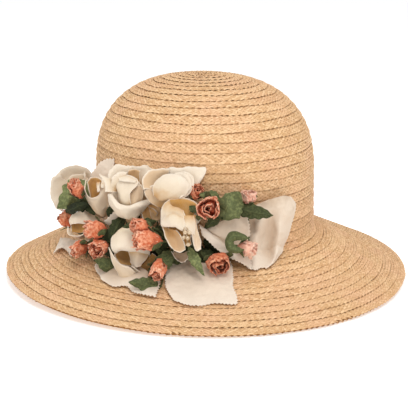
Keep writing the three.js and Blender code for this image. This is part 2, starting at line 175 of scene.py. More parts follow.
def straw_surface(row, lift, angle):
    """Points and outward directions at a row count from the tip, lifted off the straw, in hat millimetres."""
    row, lift, angle = np.broadcast_arrays(np.asarray(row, float), lift, angle)
    oval = np.stack([np.cos(angle) / HALF_WIDTH, np.sin(angle) / HALF_LENGTH], -1)
    oval /= np.linalg.norm(oval, axis=-1, keepdims=True)
    share = np.clip(row / CROWN_ROWS, 0, 1)
    step = 0.002
    low, high = np.clip(share - step, 0, 1), np.clip(share + step, 0, 1)
    ahead = np.interp(high, MERIDIAN_SHARE, MERIDIAN_OUT) - np.interp(low, MERIDIAN_SHARE, MERIDIAN_OUT)
    fall = np.interp(high, MERIDIAN_SHARE, MERIDIAN_UP) - np.interp(low, MERIDIAN_SHARE, MERIDIAN_UP)
    length = np.hypot(ahead, fall)
    slope = slope_at(angle)
    on_crown = row < CROWN_ROWS
    outward = np.where(on_crown, -fall / length, np.sin(slope))
    upward = np.where(on_crown, ahead / length, np.cos(slope))
    past = (row - CROWN_ROWS) / BRIM_ROWS * BRIM_WIDTH
    scale = np.where(on_crown, np.interp(share, MERIDIAN_SHARE, MERIDIAN_OUT) / MEAN_RADIUS, 1)
    out = np.where(on_crown, 0, past * np.cos(slope)) + outward * lift
    height = np.interp(share, MERIDIAN_SHARE, MERIDIAN_UP)
    up = np.where(on_crown, height, -past * np.sin(slope)) + upward * lift
    x = HALF_WIDTH * scale * np.cos(angle) + oval[..., 0] * out
    y = HALF_LENGTH * scale * np.sin(angle) + oval[..., 1] * out
    normal = np.stack([oval[..., 0] * outward, oval[..., 1] * outward, upward], -1)
    return np.stack([x, y, up], -1), normal


def above_straw(points):
    """How far points are off the straw, from the crown's wall or the brim, whichever is nearer."""
    x, y, up = points[..., 0], points[..., 1], points[..., 2]
    slope = slope_at(np.arctan2(y / HALF_LENGTH, x / HALF_WIDTH))
    share = np.hypot(x / HALF_WIDTH, y / HALF_LENGTH)
    reach = np.hypot(x, y) / share
    at_height = np.maximum(np.interp(up, MERIDIAN_UP[::-1], MERIDIAN_OUT[::-1]) / MEAN_RADIUS, TIP_SHARE)
    wall = (share - at_height) * reach
    brim = (up + (share - 1) * reach * np.tan(slope)) * np.cos(slope)
    return np.minimum(wall, brim)


NEAREST = 600
FARTHEST = 900
HALVINGS = 30
LONGEST_PUSH = 40.0
PUSH_HALVINGS = 20


def on_straw(x, y, lift):
    """The point that shows at a pixel and lies on the straw, lifted a little off it."""
    x, y, lift = np.broadcast_arrays(np.asarray(x, float), np.asarray(y, float), np.asarray(lift, float))
    near, far = np.full(x.shape, float(NEAREST)), np.full(x.shape, float(FARTHEST))
    for _ in range(HALVINGS):
        middle = (near + far) / 2
        clear = above_straw(seen_at(x, y, middle)) > lift
        near, far = np.where(clear, middle, near), np.where(clear, far, middle)
    return seen_at(x, y, near)


def clear_of_straw(points, gap, way):
    """Moves points that are too near the straw, or in it, along one way until they are clear of it."""
    low, high = np.zeros(points.shape[:-1]), np.full(points.shape[:-1], LONGEST_PUSH)
    for _ in range(PUSH_HALVINGS):
        middle = (low + high) / 2
        clear = above_straw(points + middle[..., None] * way) > gap
        low, high = np.where(clear, low, middle), np.where(clear, middle, high)
    return points + np.where(above_straw(points) > gap, 0, high)[..., None] * way


foot_to_edge, _ = straw_surface([CROWN_ROWS, ALL_ROWS], 0, -math.pi / 2)
print("foot of the crown to the brim's edge:", np.round(foot_to_edge, 1).tolist())

# %% [markdown]
# A finished piece is a plain mesh with its place in its vertices, its material, and its CAD node hidden
# behind it. Small colour differences, such as one strand darker than the next, are kept as attributes on the
# mesh, because an attribute follows the surface wherever the piece goes.

# %% Making a piece from arrays
def add_attributes(mesh, attributes):
    for key, values in attributes.items():
        values = np.asarray(values, np.float32)
        kind = "FLOAT_VECTOR" if values.ndim == 2 else "FLOAT"
        layer = mesh.attributes.new(key, kind, "POINT")
        layer.data.foreach_set("vector" if values.ndim == 2 else "value", values.ravel())


def new_mesh(name, points, faces, attributes=None):
    mesh = bpy.data.meshes.new(name)
    corners = [list(dict.fromkeys(face)) for face in np.asarray(faces).tolist()]
    mesh.from_pydata(to_frame(points).tolist(), [], corners)
    add_attributes(mesh, attributes or {})
    mesh.shade_smooth()
    mesh.update()
    return mesh


def add_piece(name, mesh, material, slot, *nodes):
    piece = bpy.data.objects.new(name, mesh)
    bpy.context.scene.collection.objects.link(piece)
    mesh.materials.clear()
    mesh.materials.append(material)
    if nodes:
        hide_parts(*nodes)
    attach(piece, "root")
    return piece


# %% [markdown]
# Materials are small node graphs. These helpers add a node, set its plain values and link its inputs,
# so that each finish below reads as a short recipe.

# %% Helpers for node graphs
def add_node(tree, kind, inputs=None, **settings):
    node = tree.nodes.new(kind)
    for name, value in settings.items():
        setattr(node, name, value)
    for key, value in (inputs or {}).items():
        if isinstance(value, bpy.types.NodeSocket):
            tree.links.new(value, node.inputs[key])
        else:
            node.inputs[key].default_value = value
    return node


def new_material(name, roughness, specular=0.5):
    material = bpy.data.materials.new(name)
    material.use_nodes = True
    tree = material.node_tree
    shader = tree.nodes["Principled BSDF"]
    shader.inputs["Roughness"].default_value = roughness
    shader.inputs["Specular IOR Level"].default_value = specular
    return material, tree, shader


def mix_colours(tree, share, first, second, blend="MIX"):
    mix = add_node(tree, "ShaderNodeMix", data_type="RGBA", blend_type=blend)
    for socket, value in ((mix.inputs[0], share), (mix.inputs[6], first), (mix.inputs[7], second)):
        if isinstance(value, bpy.types.NodeSocket):
            tree.links.new(value, socket)
        elif isinstance(value, (int, float)):
            socket.default_value = value
        else:
            socket.default_value = (*value, 1)
    return mix.outputs[2]


def ranged(tree, value, low, high, to_low=0.0, to_high=1.0):
    inputs = {0: value, 1: low, 2: high, 3: to_low, 4: to_high}
    return add_node(tree, "ShaderNodeMapRange", inputs).outputs[0]


def bump(tree, height, strength, distance, normal=None):
    inputs = {"Height": height, "Strength": strength, "Distance": distance}
    if normal is not None:
        inputs["Normal"] = normal
    return add_node(tree, "ShaderNodeBump", inputs).outputs[0]


def noise_at(tree, place, scale, detail=2):
    inputs = {"Vector": place, "Scale": scale, "Detail": detail}
    return add_node(tree, "ShaderNodeTexNoise", inputs).outputs[0]


def reckon(tree, operation, *values):
    return add_node(tree, "ShaderNodeMath", dict(enumerate(values)), operation=operation).outputs[0]


def reckon_vector(tree, operation, *values):
    outputs = add_node(tree, "ShaderNodeVectorMath", dict(enumerate(values)), operation=operation).outputs
    return outputs["Value"] if operation == "DOT_PRODUCT" else outputs["Vector"]


def attribute_of(tree, name, output="Vector"):
    return add_node(tree, "ShaderNodeAttribute", attribute_name=name).outputs[output]


def object_place(tree):
    return add_node(tree, "ShaderNodeTexCoord").outputs["Object"]


def separate(tree, vector):
    return add_node(tree, "ShaderNodeSeparateXYZ", {0: vector}).outputs


def finish_material(tree, shader, colour, normal):
    tree.links.new(colour, shader.inputs["Base Color"])
    if normal is not None:
        tree.links.new(normal, shader.inputs["Normal"])


# %% [markdown]
# Raffia is a split palm leaf: dry, warm and a little glossy, with fine lines along each strand. Every strand
# of the braid has a tone of its own, so the hat is never one flat colour. The lines run along the strand
# because they are drawn in the strand's own coordinates, which the braid's node tree writes on it. The same
# coordinates say how far a point is past the seam above it, where a row comes out from under the next: there
# the straw gets a painted shade for the shadow of the row above. Each strand also gets a painted shade along
# its edges, where it meets its neighbours, and small dark flecks of painted shade stand for the tiny gaps
# between strands.

# %% Raffia
DULL_STRAND = (0.63, 0.35, 0.15)
BRIGHT_STRAND = (0.86, 0.57, 0.31)
PALE_FIBRE = (0.95, 0.69, 0.41)
RED_PATCH = (0.86, 0.49, 0.31)
# The next three colours are painted shade: where neighbouring strands meet, under the row above, and in the
# tiny gaps between strands.
STRAND_EDGE_SHADE = (0.46, 0.22, 0.08)
ROW_GROOVE_SHADE = (0.36, 0.16, 0.055)
GAP_SHADE_FLECK = (0.46, 0.21, 0.075)
DEEP_SHADE = (0.32, 0.14, 0.045)
SOFT_SHADE = (0.50, 0.26, 0.10)
FIBRE_STRETCH = (0.35, 3.2, 1)
FIBRE_SCALE = 1.6
PATCH_SCALE = 45
FLECK_SCALE = 900
SHADE_SCALE = 700


def raffia_material():
    material, tree, shader = new_material("raffia", 0.62, 0.3)
    tone = attribute_of(tree, "tone", "Fac")
    strand = attribute_of(tree, "strand")
    seam = attribute_of(tree, "seam")
    place = object_place(tree)
    shift = add_node(tree, "ShaderNodeCombineXYZ", {0: ranged(tree, tone, 0, 1, 0, 40), 2: tone}).outputs[0]
    stretched = reckon_vector(tree, "MULTIPLY", strand, FIBRE_STRETCH)
    fibre = noise_at(tree, reckon_vector(tree, "ADD", stretched, shift), FIBRE_SCALE, 3)
    patch = noise_at(tree, place, PATCH_SCALE)
    base = mix_colours(tree, ranged(tree, tone, 0.1, 0.9), DULL_STRAND, BRIGHT_STRAND)
    streaked = mix_colours(tree, ranged(tree, fibre, 0.35, 0.75, 0, 0.5), base, PALE_FIBRE)
    patched = mix_colours(tree, ranged(tree, patch, 0.42, 0.7, 0, 0.35), streaked, RED_PATCH)
    # Painted shade along both edges of each strand, where it meets its neighbours.
    edge = reckon(tree, "ABSOLUTE", separate(tree, strand)[1])
    edge_shaded = mix_colours(tree, ranged(tree, edge, 0.55, 1.0, 0, 0.6), patched, STRAND_EDGE_SHADE)
    # Painted shade just past the seam, under the row above; it is strongest on the darker strands.
    past = reckon_vector(tree, "DOT_PRODUCT", reckon_vector(tree, "ADD", strand, (0, 0, 1)), seam)
    deep = ranged(tree, tone, 0.15, 0.75, 1.0, 0.35)
    groove_shade = reckon(tree, "MULTIPLY", ranged(tree, past, 0.75, 1.5, 0.8, 0), deep)
    groove_shaded = mix_colours(tree, groove_shade, edge_shaded, ROW_GROOVE_SHADE)
    # Painted shade: small dark flecks for the tiny gaps between strands.
    fleck = noise_at(tree, place, FLECK_SCALE, 1)
    flecked = mix_colours(tree, ranged(tree, fleck, 0.58, 0.70, 0, 0.55), groove_shaded, GAP_SHADE_FLECK)
    finish_material(tree, shader, flecked, bump(tree, fibre, 0.5, 0.0002))
    return material


def core_material():
    material, tree, shader = new_material("raffia_in_shade", 0.8, 0.15)
    grain = noise_at(tree, object_place(tree), SHADE_SCALE)
    colour = mix_colours(tree, ranged(tree, grain, 0.3, 0.7), DEEP_SHADE, SOFT_SHADE)
    finish_material(tree, shader, colour, bump(tree, grain, 0.6, 0.0003))
    return material


raffia = raffia_material()
raffia_shade = core_material()

# %% [markdown]
# The braid is plaited from seven strands. Each strand crosses the braid on a slant, over one neighbour and
# under the next, so what shows is a net of short slanted floats: one lane leans left, the next lane leans
# right. A sewn row laps over the next row out, so its outer edge stands proud and throws the thin dark line
# between rows. The whole hat is one spiral. Here its path is worked out, and each float gets a place, a
# direction and a size.

# %% The spiral of braid
ROW_WIDTH = 6.7
LANES = 7
COLUMN_STEP = 2.15
SLANT = math.radians(27)
TUCK = 0.15
ROW_STEP = 1.0
ROW_BULGE = 0.12
EDGE_SLANT = 0.3
SEAM_ANGLE = math.radians(100)
TUCK_START = 0.85
INNER_FACE = -2.0
STRAND_LENGTH = 5.2
STRAND_WIDTH = 2.0
SPIRAL_START = -0.45
SPIRAL_SAMPLES = 40000
FIRST_ROW = 0.12
LAST_ROW = ALL_ROWS - 0.03
SPLICES = 97
SPLICE_COLUMNS = 70
WAVES = ((0.05, 3, 1.7), (0.035, 7, -2.3), (0.02, 17, 1))
LIFT_SPREAD = 0.05
LEAN_SPREAD = 0.06
TONE_SPREAD = 0.1
TONE_RANGE = (0.05, 0.95)
WIDTH_RANGE = (0.86, 1.12)
LENGTH_RANGE = (0.94, 1.08)
TIP_ROWS = 1.2
TIP_SIZE = 0.6
OUTER_SEED = 7
INNER_SEED = 8


def smooth(value, low, high):
    share = np.clip((np.asarray(value, float) - low) / (high - low), 0, 1)
    return share * share * (3 - 2 * share)


def row_start(turns):
    """The inner edge of the braid, in rows from the tip, after so many turns of the spiral."""
    whole = np.floor(turns)
    part = turns - whole
    at_edge = smooth(turns, CROWN_ROWS, ALL_ROWS - 1)
    return whole + part * (1 - at_edge) + smooth(part, TUCK_START, 1) * at_edge


def braid_columns():
    """The columns of the plait, how many turns of the spiral each is from the tip, and the braid's length."""
    turns = np.linspace(SPIRAL_START, ALL_ROWS, SPIRAL_SAMPLES)
    angle = SEAM_ANGLE - 2 * math.pi * turns
    centre, _ = straw_surface(np.maximum(row_start(turns) + 0.5, 0), 0, angle)
    reach = np.concatenate([[0], np.cumsum(np.linalg.norm(np.diff(centre, axis=0), axis=1))])
    columns = np.arange(int(reach[-1] / COLUMN_STEP))
    return columns, np.interp(columns * COLUMN_STEP, reach, turns), reach[-1]


def wander(row, angle):
    """The small waver of a row that is sewn by hand, from waves with a size, turns and a drift by row."""
    return sum(size * np.sin(turns * angle + drift * row) for size, turns, drift in WAVES)


def braid_floats(side, seed):
    """Every float on the outer (1) or inner (-1) face of the straw."""
    columns, turns, length = braid_columns()
    lanes = np.arange(1, LANES) if side > 0 else np.arange(LANES - 1)
    column, lane = np.meshgrid(columns, lanes, indexing="ij")
    shown = (column + lane) % 2 == 0
    column, lane = column[shown], lane[shown]
    turn = turns[column]
    angle = SEAM_ANGLE - 2 * math.pi * turn
    across = (lane + 0.5) / LANES
    row = row_start(turn) - TUCK + (1 + TUCK) * across
    row = row + wander(row, angle)
    kept = (row > FIRST_ROW) & (row < LAST_ROW)
    column, lane, turn, angle, across, row = (v[kept] for v in (column, lane, turn, angle, across, row))
    draw = np.random.default_rng(seed)
    lift = ROW_STEP * across + ROW_BULGE * np.sin(math.pi * across) + draw.normal(0, LIFT_SPREAD, row.size)
    lift = lift if side > 0 else lift + INNER_FACE - ROW_BULGE
    place, normal = straw_surface(row, lift, angle)
    ahead, _ = straw_surface(row, lift, angle - 0.01)
    along = ahead - place
    along /= np.linalg.norm(along, axis=1, keepdims=True)
    normal = normal * side
    aside = np.cross(normal, along)
    leaning = np.where(lane % 2 == 0, 1, -1) * np.where(lane == LANES - 1, EDGE_SLANT, 1) * SLANT
    leaning = leaning + draw.normal(0, LEAN_SPREAD, row.size)
    facing = along * np.cos(leaning)[:, None] + aside * np.sin(leaning)[:, None]
    strand = np.where(lane % 2 == 0, column - lane, column + lane) % (2 * LANES) // 2
    splice = (column // SPLICE_COLUMNS + strand * 3) % SPLICES
    tones = draw.uniform(*TONE_RANGE, (LANES, SPLICES))[strand, splice]
    widths = draw.uniform(*WIDTH_RANGE, (LANES, SPLICES))[strand, splice]
    tone = np.clip(tones + draw.normal(0, TONE_SPREAD, row.size), 0, 1)
    near_tip = np.clip(row / TIP_ROWS, TIP_SIZE, 1)
    lengths = draw.uniform(*LENGTH_RANGE, row.size)
    size = np.stack([near_tip * lengths, near_tip * widths, np.ones(row.size)], -1)
    past = np.where(row < 1, ROW_WIDTH, (row - row_start(turn)) * ROW_WIDTH)
    half_length = side * STRAND_LENGTH / 2 * size[:, 0] * np.sin(leaning)
    half_width = side * STRAND_WIDTH / 2 * size[:, 1] * np.cos(leaning)
    seam = np.stack([half_length, half_width, past], -1)
    print("braid of", round(length / 1000, 2), "m with", row.size, "floats on face", side)
    return {
        "row": row, "place": place, "along": facing, "facing": normal,
        "size": size, "tone": tone, "seam": seam,
    }


# %% [markdown]
# One float is drawn once and placed some fifty-seven thousand times, which is what Geometry Nodes is for. The
# float is a small arched ribbon, high in its middle where it rides over a neighbour, with its two ends
# dipping under. Its sizes are named inputs of the tree, so the braid can be made bolder or finer from one
# place.

# %% The plait's node tree
def plait_tree():
    tree = bpy.data.node_groups.new("raffia_plait", "GeometryNodeTree")
    face = tree.interface
    face.new_socket("Floats", in_out="INPUT", socket_type="NodeSocketGeometry")
    for name in ("Strand Length", "Strand Width", "Arch", "Dip", "Curl"):
        face.new_socket(name, in_out="INPUT", socket_type="NodeSocketFloat")
    face.new_socket("Straw", in_out="INPUT", socket_type="NodeSocketMaterial")
    face.new_socket("Braid", in_out="OUTPUT", socket_type="NodeSocketGeometry")
    start = add_node(tree, "NodeGroupInput").outputs
    counts = {"Size X": 2.0, "Size Y": 2.0, "Vertices X": 3, "Vertices Y": 3}
    grid = add_node(tree, "GeometryNodeMeshGrid", counts)
    flat = add_node(tree, "GeometryNodeInputPosition").outputs[0]
    marked = add_node(tree, "GeometryNodeStoreNamedAttribute", data_type="FLOAT_VECTOR", domain="POINT")
    tree.links.new(grid.outputs[0], marked.inputs["Geometry"])
    marked.inputs["Name"].default_value = "strand"
    tree.links.new(flat, marked.inputs["Value"])
    parts = separate(tree, flat)
    x = reckon(tree, "MULTIPLY", reckon(tree, "MULTIPLY", parts[0], start["Strand Length"]), 0.5)
    y = reckon(tree, "MULTIPLY", reckon(tree, "MULTIPLY", parts[1], start["Strand Width"]), 0.5)
    drop = reckon(tree, "ADD", start["Arch"], start["Dip"])
    ends = reckon(tree, "MULTIPLY", reckon(tree, "MULTIPLY", parts[0], parts[0]), drop)
    edges = reckon(tree, "MULTIPLY", reckon(tree, "MULTIPLY", parts[1], parts[1]), start["Curl"])
    z = reckon(tree, "SUBTRACT", reckon(tree, "SUBTRACT", start["Arch"], ends), edges)
    arched = add_node(tree, "ShaderNodeCombineXYZ", {0: x, 1: y, 2: z}).outputs[0]
    shaped = add_node(tree, "GeometryNodeSetPosition", {"Geometry": marked.outputs[0], "Position": arched})

    def read(name):
        node = add_node(tree, "GeometryNodeInputNamedAttribute", data_type="FLOAT_VECTOR")
        node.inputs["Name"].default_value = name
        return node.outputs[0]

    aim = add_node(tree, "FunctionNodeAxesToRotation", {0: read("facing"), 1: read("along")})
    aim.primary_axis = "Z"
    aim.secondary_axis = "X"
    placed = add_node(tree, "GeometryNodeInstanceOnPoints", {
        "Points": start["Floats"], "Instance": shaped.outputs[0],
        "Rotation": aim.outputs[0], "Scale": read("size"),
    })
    real = add_node(tree, "GeometryNodeRealizeInstances", {"Geometry": placed.outputs[0]})
    soft = add_node(tree, "GeometryNodeSetShadeSmooth", {"Geometry": real.outputs[0]})
    finish = {"Geometry": soft.outputs[0], "Material": start["Straw"]}
    dressed = add_node(tree, "GeometryNodeSetMaterial", finish)
    tree.links.new(dressed.outputs[0], add_node(tree, "NodeGroupOutput").inputs["Braid"])
    return tree


PLAIT = plait_tree()
STRAND_SIZES = {
    "Strand Length": STRAND_LENGTH / 1000,
    "Strand Width": STRAND_WIDTH / 1000,
    "Arch": 0.00034,
    "Dip": 0.0003,
    "Curl": 0.0002,
}


def plait_piece(name, floats, node):
    """Runs the tree on one part of the braid, and keeps its result as a plain mesh."""
    points = bpy.data.meshes.new(name + "_points")
    points.from_pydata(to_frame(floats["place"]).tolist(), [], [])
    add_attributes(points, {
        "along": turn_to_frame(floats["along"]),
        "facing": turn_to_frame(floats["facing"]),
        "size": floats["size"],
        "seam": floats["seam"],
        "tone": floats["tone"],
    })
    carrier = bpy.data.objects.new(name + "_carrier", points)
    bpy.context.scene.collection.objects.link(carrier)
    modifier = carrier.modifiers.new("plait", "NODES")
    modifier.node_group = PLAIT
    sockets = {item.name: item.identifier for item in PLAIT.interface.items_tree if item.in_out == "INPUT"}
    for key, value in STRAND_SIZES.items():
        modifier[sockets[key]] = value
    modifier[sockets["Straw"]] = raffia
    bpy.context.view_layer.update()
    mesh = bpy.data.meshes.new_from_object(carrier.evaluated_get(bpy.context.evaluated_depsgraph_get()))
    mesh.name = name
    bpy.data.objects.remove(carrier)
    bpy.data.meshes.remove(points)
    print(name, "has", len(mesh.polygons) * 2, "triangles")
    return add_piece(name, mesh, raffia, "straw", node)


def part_of(floats, chosen):
    return {key: values[chosen] for key, values in floats.items()}


outer_floats = braid_floats(1, OUTER_SEED)
inner_floats = braid_floats(-1, INNER_SEED)
for label, floats in (("braid", outer_floats), ("braid_inside", inner_floats)):
    on_crown = floats["row"] < CROWN_ROWS
    plait_piece("crown_" + label, part_of(floats, on_crown), "crown")
    plait_piece("brim_" + label, part_of(floats, ~on_crown), "brim")

# %% [markdown]
# Between the two faces of the braid lie the strands that dip out of sight. They only show as darkness in the
# small gaps, so one thin closed shell in shaded straw stands for them. It is kept under both faces all the
# way to the rim.

# %% The core of the braid
CORE_TOP = -0.25
CORE_FOOT = -0.95
CORE_SIDES = 180
CORE_START = 0.15
CORE_SHORT = 0.05
CORE_CROWN_RINGS = 50
CORE_BRIM_RINGS = 25


def core_piece():
    on_crown = np.linspace(CORE_START, CROWN_ROWS - CORE_SHORT, CORE_CROWN_RINGS)
    on_brim = np.linspace(CROWN_ROWS, ALL_ROWS - CORE_SHORT, CORE_BRIM_RINGS)
    rows = np.concatenate([on_crown, on_brim])
    angle = np.arange(CORE_SIDES) / CORE_SIDES * 2 * math.pi
    over = [straw_surface(row, CORE_TOP, angle)[0] for row in rows]
    under = [straw_surface(row, CORE_FOOT, angle)[0] for row in rows[::-1]]
    rings = np.array(over + under)
    poles = np.array([[0, 0, CROWN_HEIGHT + CORE_TOP], [0, 0, CROWN_HEIGHT + CORE_FOOT]])
    count = len(rings)
    ring, side = np.meshgrid(np.arange(count - 1), np.arange(CORE_SIDES), indexing="ij")
    after = (side + 1) % CORE_SIDES
    quads = np.stack([ring * CORE_SIDES + side, (ring + 1) * CORE_SIDES + side,
                      (ring + 1) * CORE_SIDES + after, ring * CORE_SIDES + after], -1).reshape(-1, 4).tolist()
    first = count * CORE_SIDES
    around = np.arange(CORE_SIDES)
    caps = [[first, i, (i + 1) % CORE_SIDES] for i in around]
    last = (count - 1) * CORE_SIDES
    caps += [[first + 1, last + (i + 1) % CORE_SIDES, last + i] for i in around]
    mesh = bpy.data.meshes.new("braid_core")
    points = np.concatenate([rings.reshape(-1, 3), poles])
    mesh.from_pydata(to_frame(points).tolist(), [], quads + [[int(v) for v in cap] for cap in caps])
    mesh.shade_smooth()
    return add_piece("braid_core", mesh, raffia_shade, "straw", "crown", "brim")


core = core_piece()
print("core of the braid:", len(core.data.polygons), "faces")

# %% [markdown]
# Every petal, leaf and single cloth piece is a thin sheet: a grid of points given a wall and a rim. The sheet
# keeps how far each point is from the root and from its middle, and the finishes use that to darken a root,
# with dye and with painted shade, or pale a lip.

# %% Thin sheets
def grid_of(columns, rows):
    return np.meshgrid(np.linspace(-1, 1, columns + 1), np.linspace(0, 1, rows + 1))


def sheet_arrays(points, across, along, thickness, tone):
    """A closed sheet from a grid of points: its front, its back and the rim between them."""
    rows, columns = points.shape[0] - 1, points.shape[1] - 1
    side = np.gradient(points, axis=1)
    length = np.gradient(points, axis=0)
    normal = np.cross(side, length)
    normal /= np.maximum(np.linalg.norm(normal, axis=-1, keepdims=True), 1e-9)
    half = np.broadcast_to(thickness, across.shape)[..., None] / 2
    front = (points + normal * half).reshape(-1, 3)
    back = (points - normal * half).reshape(-1, 3)
    index = np.arange((rows + 1) * (columns + 1)).reshape(rows + 1, columns + 1)
    a, b, c, d = index[:-1, :-1], index[:-1, 1:], index[1:, 1:], index[1:, :-1]
    over = np.stack([a, b, c, d], -1).reshape(-1, 4)
    size = index.size
    rim = np.concatenate([index[0, :-1], index[:-1, -1], index[-1, :0:-1], index[:0:-1, 0]])
    next_rim = np.roll(rim, -1)
    edge = np.stack([next_rim, rim, size + rim, size + next_rim], -1)
    faces = np.concatenate([over, size + over[:, ::-1], edge])
    bloom = np.stack([across, along, np.broadcast_to(tone, across.shape)], -1).reshape(-1, 3)
    return np.concatenate([front, back]), faces, np.concatenate([bloom, bloom])


def join_arrays(parts):
    points, faces, blooms, first = [], [], [], 0
    for part_points, part_faces, bloom in parts:
        points.append(part_points)
        faces.append(part_faces + first)
        blooms.append(bloom)
        first += len(part_points)
    return np.concatenate(points), np.concatenate(faces), np.concatenate(blooms)


def point_around(piece):
    """A piece's place: so far round the hat from its front, so far out from its middle, and so high."""
    around, radius = math.radians(piece["around"]), piece["radius"]
    return np.array([radius * math.sin(around), -radius * math.cos(around), piece["height"]])


def place_of(piece):
    """The frame of a flower: right, top and facing directions in its columns, and its place."""
    turn, rise = math.radians(piece["azimuth"]), math.radians(piece["elevation"])
    facing = np.array([math.sin(turn) * math.cos(rise), -math.cos(turn) * math.cos(rise), math.sin(rise)])
    right = np.cross([0, 0, 1], facing)
    right /= np.linalg.norm(right)
    top = np.cross(facing, right)
    return np.stack([right, top, facing], 1), point_around(piece)


DENT_SEED = 11
noise.seed_set(DENT_SEED)


def crumple(points, amount, scale, seed):
    """Small soft dents, so many millimetres deep and wide, the same on both faces and on every run."""
    shift = Vector((seed * 7.31, seed * 3.17, seed * 5.03))
    flat = points.reshape(-1, 3)
    dents = [noise.noise_vector(Vector(p) / scale + shift) for p in flat]
    return points + amount * np.array(dents).reshape(points.shape)


def table(columns, *rows):
    return [dict(zip(columns, row)) for row in rows]


# %% [markdown]
# Stiffened cotton makes the roses and the single petals. It is matt and creamy white on the lips, and ochre
# toward the heart: partly dye that the maker brushes on, and partly painted shade deep in the flower. A petal
# that lies deep in a rose is browned all over, by dye and by painted shade. The edges and lips keep the lip
# colour as a painted highlight, and the creases and the dents of the weave get a painted shade. Its weave is
# only just visible.

# %% Ivory cloth
CLOUD_SCALE = 130


def cloth_material(name, lip, middle, root, crease_shade, stain_and_shade=(-0.1, 0.45), grain=1500, depth=0.0001, mottle=0.3):
    material, tree, shader = new_material(name, 0.85, 0.2)
    shader.inputs["Sheen Weight"].default_value = 0.15
    parts = separate(tree, attribute_of(tree, "bloom"))
    place = object_place(tree)
    cloud = noise_at(tree, place, CLOUD_SCALE, 3)
    weave = noise_at(tree, place, grain)
    # Dye and painted shade: the root colour, which fades out from the heart toward the lip.
    toward_lip = reckon(tree, "ADD", parts[1], ranged(tree, cloud, 0.3, 0.7, -0.14, 0.14))
    low = mix_colours(tree, ranged(tree, toward_lip, *stain_and_shade), root, middle)
    edge = reckon(tree, "ABSOLUTE", parts[0])
    # Painted highlight: the edges and lips keep the lip colour.
    rim = reckon(tree, "MAXIMUM", ranged(tree, edge, 0.9, 0.99), ranged(tree, parts[1], 0.93, 0.99))
    lipped = mix_colours(tree, ranged(tree, toward_lip, stain_and_shade[1] - 0.1, 0.97), low, lip)
    # Dye and painted shade: each petal's own browning all over.
    stained_and_shaded = mix_colours(tree, parts[2], lipped, root)
    rim_highlighted = mix_colours(tree, rim, stained_and_shaded, lip)
    # Painted shade: the colour of the creases, in soft patches and in the dents of the weave.
    cloud_crease_shaded = mix_colours(tree, ranged(tree, cloud, 0.4, 0.75, 0, 0.25), rim_highlighted, crease_shade)
    whole = mix_colours(tree, ranged(tree, weave, 0.62, 0.35, 0, mottle), cloud_crease_shaded, crease_shade)
    fine = bump(tree, weave, 0.6, depth)
    finish_material(tree, shader, whole, bump(tree, cloud, 0.35, 0.0008, fine))
    return material


ivory = cloth_material(
    "ivory_cloth", lip=(0.84, 0.74, 0.61), middle=(0.76, 0.63, 0.46), root=(0.55, 0.28, 0.07),
    crease_shade=(0.66, 0.49, 0.31), mottle=0.15)
ivory_single = cloth_material(
    "ivory_single_cloth", lip=(0.82, 0.71, 0.585), middle=(0.80, 0.67, 0.53), root=(0.44, 0.29, 0.17),
    crease_shade=(0.66, 0.50, 0.37), stain_and_shade=(-0.3, 0.2), mottle=0.2)
salmon = cloth_material(
    "salmon_cloth", lip=(0.94, 0.57, 0.38), middle=(0.84, 0.33, 0.17), root=(0.48, 0.07, 0.02),
    crease_shade=(0.58, 0.13, 0.05), stain_and_shade=(0.0, 0.6), grain=560, depth=0.0009, mottle=1.0)
salmon_pale = cloth_material(
    "salmon_pale_cloth", lip=(0.90, 0.66, 0.50), middle=(0.86, 0.50, 0.36), root=(0.62, 0.22, 0.14),
    crease_shade=(0.78, 0.34, 0.24), stain_and_shade=(0.0, 0.5), grain=620, depth=0.0006, mottle=0.7)
salmon_rust = cloth_material(
    "salmon_rust_cloth", lip=(0.86, 0.43, 0.25), middle=(0.70, 0.24, 0.11), root=(0.50, 0.10, 0.04),
    crease_shade=(0.46, 0.10, 0.04), stain_and_shade=(0.0, 0.6), grain=560, depth=0.0009, mottle=1.0)

# %% [markdown]
# A cloth rose is a handful of petals that were cut flat, then pulled, rolled and glued round one wire. No
# rule gives such shapes, so they are lofted, as a boat's hull is: a petal is drawn as a few ribs from its
# root to its lip, and one smooth surface runs through them. The ribs are drawn in the picture's own
# directions, right, up and out toward the viewer, from the middle of each rose, in steps of about 0.7 mm.

# %% Lofting a petal through its ribs
def spline(points, knots, at):
    """A smooth curve through points at their knots, read off at other places."""
    points, knots, at = np.asarray(points, float), np.asarray(knots, float), np.asarray(at, float)
    if len(points) > 2:
        slopes = np.gradient(points, knots, axis=0)
    else:
        slopes = np.repeat((points[1:] - points[:1]) / (knots[1] - knots[0]), 2, axis=0)
    low = np.clip(np.searchsorted(knots, at, side="right") - 1, 0, len(knots) - 2)
    gap = knots[low + 1] - knots[low]
    shape = (-1,) + (1,) * (points.ndim - 1)
    share, gap = ((at - knots[low]) / gap).reshape(shape), gap.reshape(shape)
    start = (2 * share ** 3 - 3 * share ** 2 + 1) * points[low]
    start_pull = (share ** 3 - 2 * share ** 2 + share) * gap * slopes[low]
    end = (3 * share ** 2 - 2 * share ** 3) * points[low + 1]
    end_pull = (share ** 3 - share ** 2) * gap * slopes[low + 1]
    return (start + start_pull) + (end + end_pull)


def knots_of(points):
    steps = np.linalg.norm(np.diff(np.asarray(points, float), axis=0), axis=-1)
    steps = steps.mean(axis=tuple(range(1, steps.ndim))) if steps.ndim > 1 else steps
    knots = np.concatenate([[0], np.cumsum(np.maximum(steps, 1e-6))])
    return knots / knots[-1]


def loft(ribs, columns, rows):
    across = np.linspace(0, 1, columns + 1)
    curves = np.array([spline(rib, knots_of(rib), across) for rib in ribs])
    return spline(curves, knots_of(curves), np.linspace(0, 1, rows + 1))


